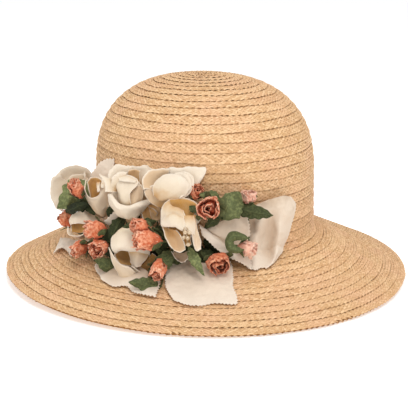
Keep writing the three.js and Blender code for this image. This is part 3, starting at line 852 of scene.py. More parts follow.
def petal(stain_and_shade, ragged, *ribs):
    """The first number is how far the cloth is browned all over, by dye and by painted shade on petals deep in
    a rose; ragged is how far its cut lip wanders, in steps.
    """
    return {"stain_and_shade": stain_and_shade, "ragged": ragged, "ribs": ribs}


# %% [markdown]
# The petals of each rose, from the back to the front. Each line of a petal is one rib.

# %% The drawn petals
PETALS = {
    "rose_far_left": [
        petal(0.0, 0.3,
              [(4, -10, -12), (8, -9, -12), (10, -6, -12)],
              [(-12, 2, -5), (-4, 9, -6), (6, 8, -7), (13, 2, -9)],
              [(-17, 9, -1), (-12, 14.5, 0), (-4, 18, 1), (7, 18.6, 0), (15.5, 15.4, -2), (20, 8, -4)]),
        petal(0.0, 0.3,
              [(4, -14, -12), (7, -12, -12), (8, -8, -12)],
              [(-6, -20, -4), (-12, -12, -4), (-13, -2, -4), (-8, 5, -6)],
              [(-11, -27, -1), (-17, -23, 1), (-21, -14, 2), (-22, -1, 2.5), (-19.5, 7.5, 2), (-12, 10, 0)]),
        petal(0.25, 0.4,
              [(6, -12, -8), (10, -10, -8), (12, -6, -8)],
              [(-1, -8, -1), (2, 2, -2), (11, 4, -3)],
              [(-4, -14, 3), (-7, -1, 3), (0, 9.5, 2), (13, 10, 0)]),
    ],
    "rose_bell": [
        petal(1.0, 0.1,
              [(-8, -6, -3), (-4, -7, -5), (2, -6, -4)],
              [(-10, 8, 1), (-8, 11, -4), (-3, 12, -6), (1, 10, -5), (5, 8, 0)],
              [(-11.5, 15, 3), (-9, 20, 0), (-4, 21, -2), (2, 18, -1), (6, 13, 1)]),
        petal(0.2, 0.1,
              [(2, -19, -6), (4, -19.5, -6), (6, -19, -6)],
              [(-8, -9, -2), (-3, -15, 3), (4, -18, 4), (9, -13, 2), (12, -6, -3)],
              [(-14, 3, 0), (-10, -3, 6), (-2, -8, 9), (6, -6, 7), (11, 4, 0)],
              [(-14.5, 9, 1), (-12, 4, 6), (-7, -2, 9), (0, -2, 10), (5, 4, 8), (7, 12, 5), (8, 17, 1)],
              [(-12.5, 18, 2), (-14, 8, 7), (-7, -0.5, 10), (-1, 1, 10), (2, 6, 8), (2.5, 14, 5),
               (3, 19, 2)]),
        petal(0.0, 0.1,
              [(-1.5, 15, 2), (1.5, 15.5, 2)],
              [(-1, 10, 10), (1.6, 11, 10)],
              [(-0.4, 5.4, 12), (2.2, 6, 12)]),
        petal(0.0, 0.1,
              [(2, 15, 2), (5, 15, 2)],
              [(2.6, 12, 9), (5.6, 12, 9)],
              [(2.8, 9, 11), (6, 9.5, 11)]),
    ],
    "rose_open": [
        petal(0.0, 0.8,
              [(-8, 0, -8), (-4, 6, -9), (0, 10, -9)],
              [(-15, 10, -1), (-10, 15, -3), (-4, 18, -4), (3, 19, -5)],
              [(-21, 12, 2), (-19.4, 20, 1), (-12, 29.7, -2), (-1, 28.4, -3), (4, 28, -4)]),
        petal(0.0, 0.8,
              [(2, 8, -8), (7, 7, -8), (11, 4, -8)],
              [(1, 19, -6), (8, 17, -7), (15, 14, -4), (19, 6, 0)],
              [(-2, 28.4, -4), (9, 28, -4), (19.4, 28.5, -4), (27, 22.7, -2), (25, 12, 1)]),
        petal(0.75, 0.1,
              [(1, 12, -1), (7, 12, -2), (12, 11, 0)],
              [(0, 19, 1), (7, 20, -1), (12.5, 18, 1)],
              [(1, 24, 3), (7, 25, 2), (12.7, 23.5, 3)]),
        petal(0.0, 0.2,
              [(-13, 2, 0), (-9, 6, 0), (-4, 10, 0)],
              [(-16, 9, 4), (-10, 13, 4), (-3, 16, 3)],
              [(-15, 16, 6), (-9, 21.5, 5), (0, 22.5, 4)]),
        petal(0.0, 0.2,
              [(-11, 2.3, 0), (-10, 8, -1), (-14, 14, -1)],
              [(-16, 2.3, 5), (-17, 8, 4), (-20, 16, 3)],
              [(-21.4, 2.3, 7), (-22.6, 11, 6), (-28.3, 20.3, 4)]),
        petal(0.0, 0.1,
              [(12, -12, -2), (16, -10, -4), (20, -9, -5)],
              [(12, 8, 2), (16, 4, 2), (21, -3, 1)],
              [(11.5, 12, 7), (15, 7, 7.5), (19, 1, 7), (23.5, -5, 6)]),
        petal(0.4, 0.1,
              [(2, -19, -2), (8, -19, -2), (14, -15, -4)],
              [(0, -10.5, 7.5), (7, -10.7, 9), (14, -9, 6)],
              [(2, -2, 6.5), (9, -2, 8), (16, 0, 5)],
              [(6, 6, 6.5), (11, 9, 7), (14.5, 9, 5)]),
        petal(0.0, 0.1,
              [(-8, -18, -3), (0, -21, 0), (6, -20, 2)],
              [(-9, 0, 3), (-6, -6, 7), (-1, -9.5, 9), (4, -8, 10.5)],
              [(-10.4, 8, 3.5), (-6, 3, 8), (-1, 0, 9.5), (3.5, 0.7, 12.5)],
              [(-9, 13, 3), (-4, 12, 7), (3, 11, 8.5), (11.7, 10.9, 11)],
              [(-7.5, 18.2, 0.5), (-2, 18.8, 4), (4, 18, 6), (9.2, 15, 7)]),
        petal(0.0, 0.1,
              [(-7, 18, -1), (0, 18.5, 3), (9, 15, 5)],
              [(-8.5, 16, 5), (0, 16.5, 9), (9.6, 13.5, 10)],
              [(-8, 13.4, 8), (0, 12.6, 11.5), (8.5, 11.3, 12)]),
        petal(0.0, 0.1,
              [(-8, -19, -8), (2, -21, -8), (9, -19, -8)],
              [(-17, -12, -1), (-9, -21, 5), (-1, -24.2, 8), (8, -23.5, 7), (15, -18, 1)],
              [(-18.5, -6, 2), (-13, -12, 9), (-4, -18, 12.5), (6, -18, 12), (19, -13, 4)],
              [(-18.5, 0.5, 3), (-14.5, -6, 10), (-9, -13, 12.5), (1, -13, 15), (12, -11.5, 14.5),
               (24, -8, 9)],
              [(-15.5, 0, 4), (-11, -6, 10), (-5, -10.5, 12), (2, -11.5, 14), (12, -8, 13.5), (21, -5.5, 9)]),
        petal(0.9, 0.3,
              [(12, -12, -4), (16, -12, -6), (20, -12, -6)],
              [(14, -20, 2), (19, -19, -2), (25, -14, 2)],
              [(16, -27, 4), (22, -28, 0), (28, -24, 2), (31, -18, 4)]),
        petal(0.7, 0.4,
              [(20, -10, -6), (23, -11, -6), (26, -10, -6)],
              [(22, -17, 1), (27, -18, 1), (32, -14, -1)],
              [(25, -26, 3), (31, -28, 2), (35, -22, 0)]),
    ],
    "rose_upper_right": [
        petal(0.0, 0.9,
              [(2, -12, -6), (9, -12, -6), (15, -11, -6)],
              [(-2, 4, -5), (12, 5, -4), (24, 0, -4)],
              [(-4, 18, -5), (12, 18.5, -5), (24, 18.8, -4), (33.5, 18, -4), (31, 10, -3), (27, 2, -3),
               (21, -9, -3)]),
        petal(0.55, 0.3,
              [(-14, -15, -4), (-8, -16, -6), (-2, -14, -6)],
              [(-22, -4, 0), (-15, 2, -5), (-8, 5, -6)],
              [(-30, -4, 5), (-30, 8, 4), (-24, 15, 1), (-14, 17, -2), (-2, 17, -4)]),
        petal(0.45, 0.2,
              [(-15, -22, -7), (-9, -22, -7), (-2, -20, -6)],
              [(-25, -14, -4), (-16, -10, -4), (-6, -8, -4)],
              [(-29, -6, 1), (-22, 0, 1), (-12, 2, 0), (-4, 0, -1)]),
        petal(0.0, 0.1,
              [(0, -14, 0), (4, -15, 0), (7, -14, 0)],
              [(4, 2, 0), (12, 0, 1), (12, -9, 1)],
              [(2, 12.5, 1), (12, 14, 2), (20, 9, 3), (21, 0, 4), (16, -9, 4), (8, -14, 4)]),
        petal(0.0, 0.1,
              [(-2, -12, 2), (2, -13, 2), (6, -12, 2)],
              [(2, 2, 3), (10, 0, 4), (10, -8, 4)],
              [(0, 11.5, 3), (10, 12.5, 4), (17.5, 8, 5), (18.5, 0, 6), (14, -8, 6), (6, -13, 6)]),
        petal(0.0, 0.1,
              [(-19, -10, 0), (-12, -15, 2), (-3, -15, 0)],
              [(-20, -2, 2), (-11, -4, 8), (1, -10, 7), (9, -12, 3)],
              [(-16, 5, 3), (-5, 5, 10), (8, -1, 10), (15, -7, 5)],
              [(-10, 10, 3), (0, 11.5, 6), (11, 8, 8), (16.5, 2, 7)]),
    ],
    "rose_hanging": [
        petal(1.0, 0.1,
              [(-12, 6, 1), (0, 3, 2), (12, 1, 2)],
              [(-12, 17, 1), (0, 16, -1), (14, 12, 0)],
              [(-13, 25.5, 2), (-4, 26.5, 1), (8.6, 25.5, 0), (15.6, 21, 2), (16.5, 15, 3)]),
        petal(1.0, 0.1,
              [(-13, -2, -2), (-3, -3, 0), (6, -5, 2)],
              [(-9, -10, -3), (0, -12, -1), (9, -11, 1)],
              [(-2, -20, 2), (4, -21, 3), (10, -20, 5)]),
        petal(0.2, 0.1,
              [(4, 8, 7), (9, 9, 7), (15, 10, 3)],
              [(4, 0, 11), (9, 0, 11), (15, 0, 6)],
              [(10, -8, 12), (13.5, -8, 8), (17.5, -9, 7)],
              [(12, -17, 12), (15.5, -18, 6.5), (19.5, -17, 9)],
              [(13, -23, 12), (16, -26, 9.5), (20, -24, 10.5)]),
        petal(0.62, 0.1,
              [(-19, -1, 6), (-12, -4, 3), (-5, -5, 9)],
              [(-16.5, -10, 9), (-9, -11, 2), (-0.5, -10, 10)],
              [(-12, -19, 11), (-5, -20, 4), (3, -18, 11.5)],
              [(-7, -25.5, 11), (-1, -27.5, 10), (4.3, -24.5, 11.5)]),
        petal(0.05, 0.1,
              [(-13, 25, 3), (-9, 19, 5), (-3, 17, 6), (2, 14, 6)],
              [(-18.7, 18, 2), (-12, 15, 8), (-3, 13, 10), (4, 9, 9)],
              [(-20.2, 12.4, 3), (-13, 9, 9), (-3, 9, 11), (6, 3, 10)],
              [(-20.4, 0, 5), (-12, 2, 9), (-2, 2, 10), (9, -3, 9)]),
        petal(0.0, 0.1,
              [(-15, 6, 6), (-9, 8, 8), (-1, 7, 9), (3, 4, 9)],
              [(-15, 8.6, 9), (-9, 11, 13), (-2.4, 9.5, 14), (2.3, 7, 12)],
              [(-19, 3, 7), (-10, 3, 14.5), (-2, 2, 15.5), (4, -1, 13)],
              [(-20, -1.3, 8), (-10.4, -2, 13.5), (-5.7, -2.3, 14.5), (-2.4, -4.3, 14.5), (1, -6, 13.5)]),
        petal(0.0, 0.1,
              [(1, 9, 9), (6, 9, 10), (12, 9, 7)],
              [(1, 1, 12.5), (7, 0, 13), (14, -1, 8)],
              [(3, -4, 13), (8.5, -6, 13.5), (13, -8, 9.5)],
              [(6, -6, 12.5), (10, -9, 13), (13.5, -10, 10)]),
    ],
    "rose_folded": [
        petal(1.0, 0.1,
              [(-16, 2, 0), (-8, 4, -6), (4, 3, -6), (18, 2, -4)],
              [(-16, -5, 1), (-6, -5, -7), (6, -5, -5), (19, -6, -4)],
              [(-11, -12, 5), (-4, -14, 2), (5, -15, 3), (15, -18, 1)]),
        petal(0.0, 0.1,
              [(-10, 12, -8), (-4, 18, -8), (6, 18, -8), (14, 12, -8)],
              [(-16, 17, -1), (-9, 24, 0), (0, 26, 0), (16, 20, -3)],
              [(-20, 9, 4), (-11, 13, 11), (2, 14, 13), (18, 10, 7)],
              [(-17, 0.5, 8), (-11.5, 3, 12.5), (-4, 4.2, 14), (5, 3, 14), (19, -0.8, 8)],
              [(-15.3, -1.5, 7), (-9, 2, 11.5), (-1, 1.4, 13), (9, 0.4, 12.5), (18.5, -2.6, 7)]),
        petal(0.1, 0.1,
              [(-3, 3, 8), (8, 3, 11), (19, 0, 6)],
              [(-1, -4, 3), (8, -5, 11), (16, -6, 8)],
              [(0, -10, 5), (6, -11, 11), (12, -11, 10)],
              [(2, -13.5, 9), (6, -14.8, 13), (9.5, -13.5, 12)]),
        petal(1.0, 0.1,
              [(8, -14.5, 5), (15, -10, 3), (21, -1, 1)],
              [(12, -17, 5), (18, -11, 2), (24, -3, -1)],
              [(16, -20, 4), (22, -14, 0), (26, -6, -3)]),
        petal(0.0, 0.1,
              [(0, -16, 8), (7, -21, 8), (12, -23, 6)],
              [(1.5, -13, 13), (7, -17.5, 12.5), (13, -21, 9)]),
        petal(0.15, 0.1,
              [(-12, -31, 0), (-5, -33, 2), (4, -33, 1), (9, -30, -1)],
              [(-13, -21, 3), (-7, -24, 9), (1, -25, 10), (8, -26, 6), (11, -23, 2)],
              [(-18.5, -9, 6), (-12, -13, 10), (-5, -17, 12), (3, -20, 11), (11, -21, 6)],
              [(-22, 4.5, 5), (-16, -5, 12), (-9, -11.5, 14.5), (-1, -14, 15), (6, -20, 13), (11, -22.5, 8)]),
    ],
    "rose_small_left": [
        petal(1.0, 0.1,
              [(-12, -3, 1), (-5, -1, -3), (4, -1, 0)],
              [(-11, -10, 4), (-4, -11, 1), (3, -9, 4)]),
        petal(0.1, 0.1,
              [(-4, 6, -7), (6, 9, -8), (20, 4, -8)],
              [(-9, 8, -1), (3, 13.5, 0), (21, 5, -2)],
              [(-13, 1, 4), (-3, 6, 8), (16, 2, 5)],
              [(-12, -3, 6), (-5, -1.5, 9), (4, -2, 9), (14, -4, 6)]),
        petal(0.15, 0.1,
              [(-8, -14, 1), (-1, -17, 2), (5, -14, 0)],
              [(-13, -8, 6), (-11, -13, 8), (-4, -15, 9), (5, -12, 7)],
              [(-14.5, -4, 6), (-14, -11, 9), (-4, -13.5, 11), (5, -10, 9)]),
    ],
}
ROSES = table(
    ("name", "around", "radius", "height", "azimuth", "elevation", "size"),
    ("rose_far_left", -95, 106, 37, -105, 20, 32),
    ("rose_bell", -70, 102, 36, -80, 42, 26),
    ("rose_open", -52, 104, 44, -35, 25, 36),
    ("rose_upper_right", -32, 106, 54, -15, 20, 36),
    ("rose_hanging", -28, 114, 28, -25, -5, 34),
    ("rose_folded", -47, 115, 5, -30, 0, 34),
    ("rose_small_left", -76, 110, 16, -70, 5, 22))

# %% [markdown]
# Behind the drawn petals each rose keeps a ring of plain ones, so that it is a whole flower from the sides
# and from above too. These do follow a rule: a petal is a patch of a surface turned about the rose's axis,
# closed at the root and open at the lip.

# %% Roses
PETAL_WALL = 0.4
LIP_WALL = 0.85
LIP_ROLL = 1.3
STRAW_GAP = 1.4
HEART_DEPTH = 0.6
RING_SIZE = 0.66
RING_PETALS = 5
RING_LENGTH = 0.6
RING_WIDTH = 0.75
RING_HOLE = 0.08
ROOT_SLOPE = 80
WALL_SLOPE = 40
LIP_SLOPE = 70
RUFFLE_HEIGHT = 0.04
RUFFLE_WAVES = 4.5
RING_GRID = (16, 18)
RING_DENTS = (0.8, 8)
DRAWN_GRID = 30
DRAWN_DENTS = (0.45, 4.5)


def ring_petal_points(turn, size, across, along, steps=48):
    share = (np.arange(steps) + 0.5) / steps
    rising = (ROOT_SLOPE - WALL_SLOPE) * smooth(share, 0, 0.6)
    flaring = (LIP_SLOPE - WALL_SLOPE) * smooth(share, 0.6, 1)
    slope = np.radians(ROOT_SLOPE - rising + flaring)
    out = RING_HOLE * size + np.concatenate([[0], np.cumsum(np.sin(slope))]) * RING_LENGTH * size / steps
    up = np.concatenate([[0], np.cumsum(np.cos(slope))]) * RING_LENGTH * size / steps
    places = np.linspace(0, 1, steps + 1)
    at_out, at_up = np.interp(along, places, out), np.interp(along, places, up)
    reach = RING_WIDTH * size / 2 * np.sin(math.pi * (0.14 + 0.76 * along)) ** 0.6
    angle = turn - across * reach / np.maximum(at_out, reach / 1.5)
    ruffle = RUFFLE_HEIGHT * size * along ** 2 * np.sin(RUFFLE_WAVES * across + 50 * turn)
    return np.stack([at_out * np.cos(angle), at_out * np.sin(angle), at_up + ruffle - HEART_DEPTH * size], -1)


def drawn_sheet(drawn, origin, count, seed):
    """A drawn petal round its own place: lofted, its lip cut and rolled, dented, and clear of the straw."""
    across, along = grid_of(count, count)
    points = loft(drawn["ribs"], count, count)
    wander_at = 10 * across + 3.1 * seed
    waves = np.sin(wander_at) + 0.6 * np.sin(2.7 * wander_at + 1)
    cut = drawn["ragged"] * waves * smooth(along, 0.6, 1) * 0.6
    lip_way = points[-1] - points[-3]
    lip_way /= np.maximum(np.linalg.norm(lip_way, axis=-1, keepdims=True), 1e-6)
    points = points + cut[..., None] * lip_way
    points[..., 2] -= LIP_ROLL * smooth(along, 0.86, 1) ** 2
    points = crumple(points * depth_of(origin) / LENS_PIXELS, *DRAWN_DENTS, seed)
    return clear_of_straw(points @ PICTURE_AXES + origin, STRAW_GAP, OUT_AXIS), across, along


def joined_piece(name, parts, material, slot, *nodes):
    """One piece from many sheets and tubes."""
    points, faces, bloom = join_arrays(parts)
    mesh = new_mesh(nodes[0] if nodes else name, points, faces, {"bloom": bloom})
    return add_piece(name, mesh, material, slot, *nodes)


def rose_piece(rose, seed):
    basis, origin = place_of(rose)
    parts = []
    for number in range(RING_PETALS):
        across, along = grid_of(*RING_GRID)
        turn = 2 * math.pi * (number + 0.3) / RING_PETALS
        points = ring_petal_points(turn, RING_SIZE * rose["size"], across, along)
        points = crumple(points, *RING_DENTS, seed * 9 + number) @ basis.T + origin
        points = clear_of_straw(points, STRAW_GAP, basis[:, 2])
        parts.append(sheet_arrays(points, across, along, PETAL_WALL, 0))
    for number, drawn in enumerate(PETALS[rose["name"]]):
        points, across, along = drawn_sheet(drawn, origin, DRAWN_GRID, seed * 10 + number)
        rim = np.maximum(smooth(np.abs(across), 0.88, 1), smooth(along, 0.9, 1))
        wall = PETAL_WALL + (LIP_WALL - PETAL_WALL) * rim
        parts.append(sheet_arrays(points, across, along, wall, drawn["stain_and_shade"]))
    return joined_piece(rose["name"] + "_petals", parts, ivory, "ivory_cloth", rose["name"])


for number, rose in enumerate(ROSES):
    rose_piece(rose, number)
print(len(ROSES), "roses")

# %% [markdown]
# The pearls are the stamens of the hanging rose: glossy beads, each on its own short thread.
# A thread, and later each stem, is a tube: rings of points along a path, closed with a point at either end.

# %% Pearls
PEARL_RADIUS = 1.5
PEARL_SIDES = 18
THREAD_RADIUS = 0.3
THREAD_SIDES = 6
THREAD_STEPS = 8
THREAD_START = 2
THREAD_ARCH = 2
PEARL_SHADE = (0.48, 0.32, 0.16)
PEARL_LIGHT = (0.74, 0.60, 0.42)
PEARL_CLOUD_SCALE = 220
PEARLS = table(
    ("x", "y", "out"),
    (185, 232.4, 13),
    (189.4, 232.6, 14),
    (184, 237.5, 12),
    (187.7, 238.3, 14),
    (188.2, 244.5, 13))


def tube_arrays(path, radius, tone=0, sides=8):
    path = np.asarray(path, float)
    ahead = np.gradient(path, axis=0)
    ahead /= np.linalg.norm(ahead, axis=1, keepdims=True)
    side = np.cross(ahead[0], [0.3, 0.2, 1.0])
    turn = np.arange(sides)[:, None] / sides * 2 * math.pi
    rings = []
    for point, way, reach in zip(path, ahead, np.broadcast_to(radius, len(path))):
        side = side - way * (side @ way)
        side /= np.linalg.norm(side)
        rings.append(point + reach * (np.cos(turn) * side + np.sin(turn) * np.cross(way, side)))
    ring, place = np.meshgrid(np.arange(len(path) - 1), np.arange(sides), indexing="ij")
    after = (place + 1) % sides
    walls = np.stack([ring * sides + place, ring * sides + after, (ring + 1) * sides + after,
                      (ring + 1) * sides + place], -1).reshape(-1, 4)
    around = np.arange(sides)
    first, last = len(path) * sides, (len(path) - 1) * sides
    following = (around + 1) % sides
    foot = np.stack([np.full(sides, first), following, around, around], -1)
    top = np.stack([np.full(sides, first + 1), last + around, last + following, last + following], -1)
    points = np.concatenate(rings + [path[:1], path[-1:]])
    bloom = np.stack([np.zeros(len(points)), np.full(len(points), 0.5), np.full(len(points), tone)], -1)
    return points, np.concatenate([walls, foot, top]), bloom


def ball_arrays(centre, radius, steps=12):
    turn = np.linspace(0, math.pi, steps + 1)[1:-1]
    path = centre + radius * np.cos(turn)[:, None] * np.array([[0, 0, 1.0]])
    return tube_arrays(path, radius * np.sin(turn), sides=PEARL_SIDES)


def pearl_material():
    material, tree, shader = new_material("pearl", 0.2, 0.6)
    cloud = noise_at(tree, object_place(tree), PEARL_CLOUD_SCALE)
    colour = mix_colours(tree, ranged(tree, cloud, 0.35, 0.65), PEARL_SHADE, PEARL_LIGHT)
    finish_material(tree, shader, colour, None)
    shader.inputs["Coat Weight"].default_value = 0.6
    shader.inputs["Coat Roughness"].default_value = 0.08
    return material


def pearl_piece():
    rose = next(rose for rose in ROSES if rose["name"] == "rose_hanging")
    basis, origin = place_of(rose)
    parts = []
    for pearl in PEARLS:
        centre = seen_at(pearl["x"], pearl["y"], depth_of(origin) - pearl["out"])
        start = origin + THREAD_START * OUT_AXIS
        share = np.linspace(0, 1, THREAD_STEPS)[:, None]
        thread = start + (centre - start) * share + THREAD_ARCH * UP_AXIS * np.sin(math.pi * share)
        parts.append(ball_arrays(centre, PEARL_RADIUS))
        parts.append(tube_arrays(thread, THREAD_RADIUS, sides=THREAD_SIDES))
    points, faces, _ = join_arrays(parts)
    return add_piece("pearl_beads", new_mesh("pearls", points, faces), pearl_material(), "pearl", "pearls")


pearl_piece()
print(len(PEARLS), "pearls")

# %% [markdown]
# A bud is a rose that has not opened: five crinkled paper petals wrapped round each other to a point, with a
# rolled mouth. The same petal rule makes them, with steep slopes, and the dents are larger because the paper
# is crushed. In the table, "open" says how far a bud's mouth has opened, from 0, shut, to 1.

# %% Buds
BUDS = table(
    ("name", "around", "radius", "height", "azimuth", "elevation", "width", "length", "paper", "open"),
    ("bud_left_top", -74, 116, 43, -65, 60, 10, 16, "salmon", 1),
    ("bud_left_outer", -86, 115, 14, -105, 35, 13, 13, "salmon", 0.3),
    ("bud_left_middle", -60, 122, 19, -95, 5, 13, 17, "salmon", 1),
    ("bud_left_low", -70, 120, 0, -75, -25, 11, 15, "salmon", 1),
    ("bud_left_inner", -58, 122, 6, -45, -10, 13, 14, "salmon", 1),
    ("bud_middle_high", -41, 122, 27, -85, 15, 10, 16, "salmon", 1),
    ("bud_middle", -38, 127, 18, -90, 5, 14, 21, "salmon", 1),
    ("bud_middle_low", -34, 130, 0, -35, -35, 11, 16, "salmon", 0.6),
    ("bud_right_top", -18, 114, 40, -20, 15, 16, 14, "salmon", 1),
    ("bud_right_low", -15, 121, 2, -10, -10, 16, 14, "rust", 0.2),
    ("bud_right_pale", -5, 118, 11, 55, -10, 11, 14, "pale", 1),
    ("bud_right_back", -2, 104, 44, -5, 82, 11, 9, "pale", 1),
    ("bud_behind", -23, 104, 49, 15, 45, 9, 10, "rust", 1))
PAPERS = {"salmon": salmon, "pale": salmon_pale, "rust": salmon_rust}
BUD_PROFILE_UP = np.array([-1.0, -0.72, -0.1, 0.62, 1.0])
BUD_PROFILE_OUT = np.array([0.02, 0.62, 1.0, 0.88, 0.74])
BUD_PETALS = table(
    ("turn", "span", "scale", "tall", "flare"),
    (20, 260, 0.18, 0.86, 0.0),
    (140, 240, 0.44, 0.96, 0.04),
    (265, 225, 0.70, 1.0, 0.12),
    (30, 200, 0.92, 0.96, 0.22),
    (150, 200, 1.0, 0.88, 0.3))
BUD_CORNERS = 0.1
BUD_POINT = 0.14
BUD_WALL = 0.3
BUD_GRID = (34, 24)
BUD_DENTS = (1.2, 3.2)
BUD_CREASES = (0.7, 1.3)
FIRST_BUD_SEED = 20


def bud_petal(bud, petal, across, along, seed):
    """A wrapped petal that opens a little more at its torn lip than the one inside it."""
    up = -1 + along * (1 + petal["tall"])
    out = np.interp(up, BUD_PROFILE_UP, BUD_PROFILE_OUT)
    out = out * (petal["scale"] + (1 - petal["scale"]) * (1 - along) ** 2) * (1 + 0.08 * across)
    out = out + petal["flare"] * bud["open"] * smooth(along, 0.72, 1) * 0.8
    turn = np.radians(petal["turn"] + petal["span"] / 2 * across)
    out = out * (1 + BUD_CORNERS * np.cos(3 * turn + seed))
    torn = 0.10 * np.sin(5 * across + seed) + 0.06 * np.sin(12 * across + 2 * seed + petal["turn"])
    up = up + (BUD_POINT * np.cos(math.pi / 2 * across) + torn - BUD_POINT) * smooth(along, 0.5, 1)
    up = up - 0.25 * petal["flare"] * smooth(along, 0.9, 1)
    x = out * np.cos(turn) * bud["width"] / 2
    y = out * np.sin(turn) * bud["width"] / 2
    return np.stack([x, y, up * bud["length"] / 2], -1)


def bud_piece(bud, seed):
    basis, origin = place_of(bud)
    parts = []
    for number, petal in enumerate(BUD_PETALS):
        across, along = grid_of(*BUD_GRID)
        points = bud_petal(bud, petal, across, along, seed)
        points = crumple(points, *BUD_DENTS, seed * 10 + number)
        points = crumple(points, *BUD_CREASES, seed * 10 + number + 5)
        # Painted shade and highlight: the inner petals stay nearer the root colour and are browned more, and
        # every lip gets the lip colour.
        shade = np.clip(along * (0.62 + 0.1 * number) + 0.4 * smooth(along, 0.88, 1), 0, 1)
        points = clear_of_straw(points @ basis.T + origin, STRAW_GAP, OUT_AXIS)
        parts.append(sheet_arrays(points, across, shade, BUD_WALL, 0.25 - 0.06 * number))
    return joined_piece(bud["name"] + "_petals", parts, PAPERS[bud["paper"]], "salmon_cloth", bud["name"])


for number, bud in enumerate(BUDS):
    bud_piece(bud, FIRST_BUD_SEED + number)
print(len(BUDS), "buds")

# %% [markdown]
# The leaves, the calyx and the stems are green felted cloth. Each leaf has a tone of its own, from 0, almost
# black, to 1, pale sage: partly the dye of its batch, and partly painted shade, darkest for the leaves that
# lie deep among the flowers. The felt's fibres show as pale flecks, and the midrib is paler.

# %% Green cloth
DARK_GREEN = (0.014, 0.018, 0.008)
PALE_GREEN = (0.175, 0.200, 0.085)
DULL_GREEN = (0.045, 0.052, 0.018)
RIB_GREEN = (0.15, 0.18, 0.075)
PLAIN = (1.0, 1.0, 1.0)
PALE_FLECK = (2.0, 1.9, 1.8)
FELT_SCALE = 620
DYE_SCALE = 110


def green_material():
    material, tree, shader = new_material("green_cloth", 0.85, 0.15)
    parts = separate(tree, attribute_of(tree, "bloom"))
    place = object_place(tree)
    felt = noise_at(tree, place, FELT_SCALE, 3)
    cloud = noise_at(tree, place, DYE_SCALE)
    # Dye and painted shade: a leaf's tone, near black for leaves deep among the flowers.
    dyed_and_shaded = mix_colours(tree, parts[2], DARK_GREEN, PALE_GREEN)
    faded = mix_colours(tree, ranged(tree, cloud, 0.4, 0.7, 0, 0.4), dyed_and_shaded, DULL_GREEN)
    fleck = mix_colours(tree, ranged(tree, felt, 0.45, 0.68, 0, 0.8), PLAIN, PALE_FLECK)
    flecked = mix_colours(tree, 1.0, faded, fleck, "MULTIPLY")
    rib = reckon(tree, "ABSOLUTE", parts[0])
    ribbed = mix_colours(tree, ranged(tree, rib, 0.0, 0.07, 0.35, 0), flecked, RIB_GREEN)
    finish_material(tree, shader, ribbed, bump(tree, felt, 0.8, 0.0005))
    return material


green = green_material()
print("green cloth")

# %% [markdown]
# A leaf is pressed on a mould: a midrib, side veins, an uneven edge and a little fold. Each is drawn from its
# tail to its tip, as the camera sees it, and arches toward the viewer in between. Its depth is that of its
# CAD node, and "lean" says how much nearer its tip is than its tail.

# %% Leaves
LEAVES = table(
    ("name", "around", "radius", "height", "tail_x", "tail_y", "tip_x", "tip_y", "lean", "width", "tone"),
    ("leaf_left_top", -84, 113, 33, 91, 182, 58, 208.5, 5, 22, 0.95),
    ("leaf_left_dark", -77, 110, 27, 80, 193, 88, 210, 4, 10, 0.30),
    ("leaf_left_inner", -55, 115, 23, 123, 216, 109, 241, 2, 10, 0.10),
    ("leaf_left_low", -55, 124, -4, 116, 269, 95, 259, 4, 10, 0.45),
    ("leaf_middle_high", -42, 114, 30, 157, 221, 122, 227, 2, 7, 0.22),
    ("leaf_middle", -34, 122, 2, 172, 251, 155.5, 273, 4, 12, 0.45),
    ("leaf_middle_low", -38, 133, -11, 161, 286.5, 128, 281.5, 2, 10, 0.50),
    ("leaf_right_low", -22, 122, 4, 188, 247, 204, 276, 5, 7.5, 0.85),
    ("leaf_right_top", -18, 107, 47, 221, 200, 199, 194, 2, 9, 0.80),
    ("leaf_right_round", -10, 110, 41, 222, 219, 240, 191.5, 3, 19, 0.66),
    ("leaf_right_dark", -1, 109, 37, 234, 208, 273.5, 215.5, 3, 10.5, 0.25))
LEAF_WALL = 0.35
LEAF_GRID = (24, 56)
LEAF_DENTS = (0.8, 4)
LEAF_ARCH = 0.12
LEAF_FOLD = 0.28
LEAF_WAVE = 0.06
VEIN_HEIGHT = 0.2
VEIN_WAVES = 44
VEIN_SLANT = 0.2
EDGE_NOTCH = 0.07
EDGE_NOTCHES = 31
EDGE_SWING = 0.05
EDGE_SWINGS = 11
FIRST_LEAF_SEED = 40


def blade_points(tail, tip, width, across, along, seed):
    """A leaf blade between two points: pointed at both ends, arched, folded on its midrib and veined."""
    length = np.linalg.norm(tip - tail)
    ahead = (tip - tail) / length
    facing = OUT_AXIS - ahead * (OUT_AXIS @ ahead)
    facing /= np.linalg.norm(facing)
    side = np.cross(ahead, facing)
    half = width / 2 * np.clip(np.sin(math.pi * along ** 0.85), 0, 1) ** 0.85
    from_rib = np.abs(across)
    notches = EDGE_NOTCH * from_rib * np.sin(EDGE_NOTCHES * along + seed)
    half = half * (1 + notches + EDGE_SWING * np.sin(EDGE_SWINGS * along + seed))
    arch = LEAF_ARCH * length * np.sin(math.pi * along)
    vein = VEIN_HEIGHT * np.cos(VEIN_WAVES * (along - VEIN_SLANT * from_rib)) * (1 - from_rib) * from_rib * 2
    fold = -LEAF_FOLD * half * from_rib ** 0.8 + LEAF_WAVE * width * np.sin(8 * along + 2 * across + seed)
    spine = tail + ahead * (along * length)[..., None]
    return spine + side * (across * half)[..., None] + facing * (arch + vein + fold)[..., None]


def leaf_ends(leaf):
    depth = depth_of(point_around(leaf))
    tail = seen_at(leaf["tail_x"], leaf["tail_y"], depth + leaf["lean"])
    tip = seen_at(leaf["tip_x"], leaf["tip_y"], depth - leaf["lean"])
    return tail, tip


def leaf_blade(tail, tip, width, tone, grid, dents, seed):
    """The closed sheet of one leaf, dented and clear of the straw."""
    across, along = grid_of(*grid)
    points = crumple(blade_points(tail, tip, width, across, along, seed), *dents, seed)
    return sheet_arrays(clear_of_straw(points, STRAW_GAP, OUT_AXIS), across, along, LEAF_WALL, tone)


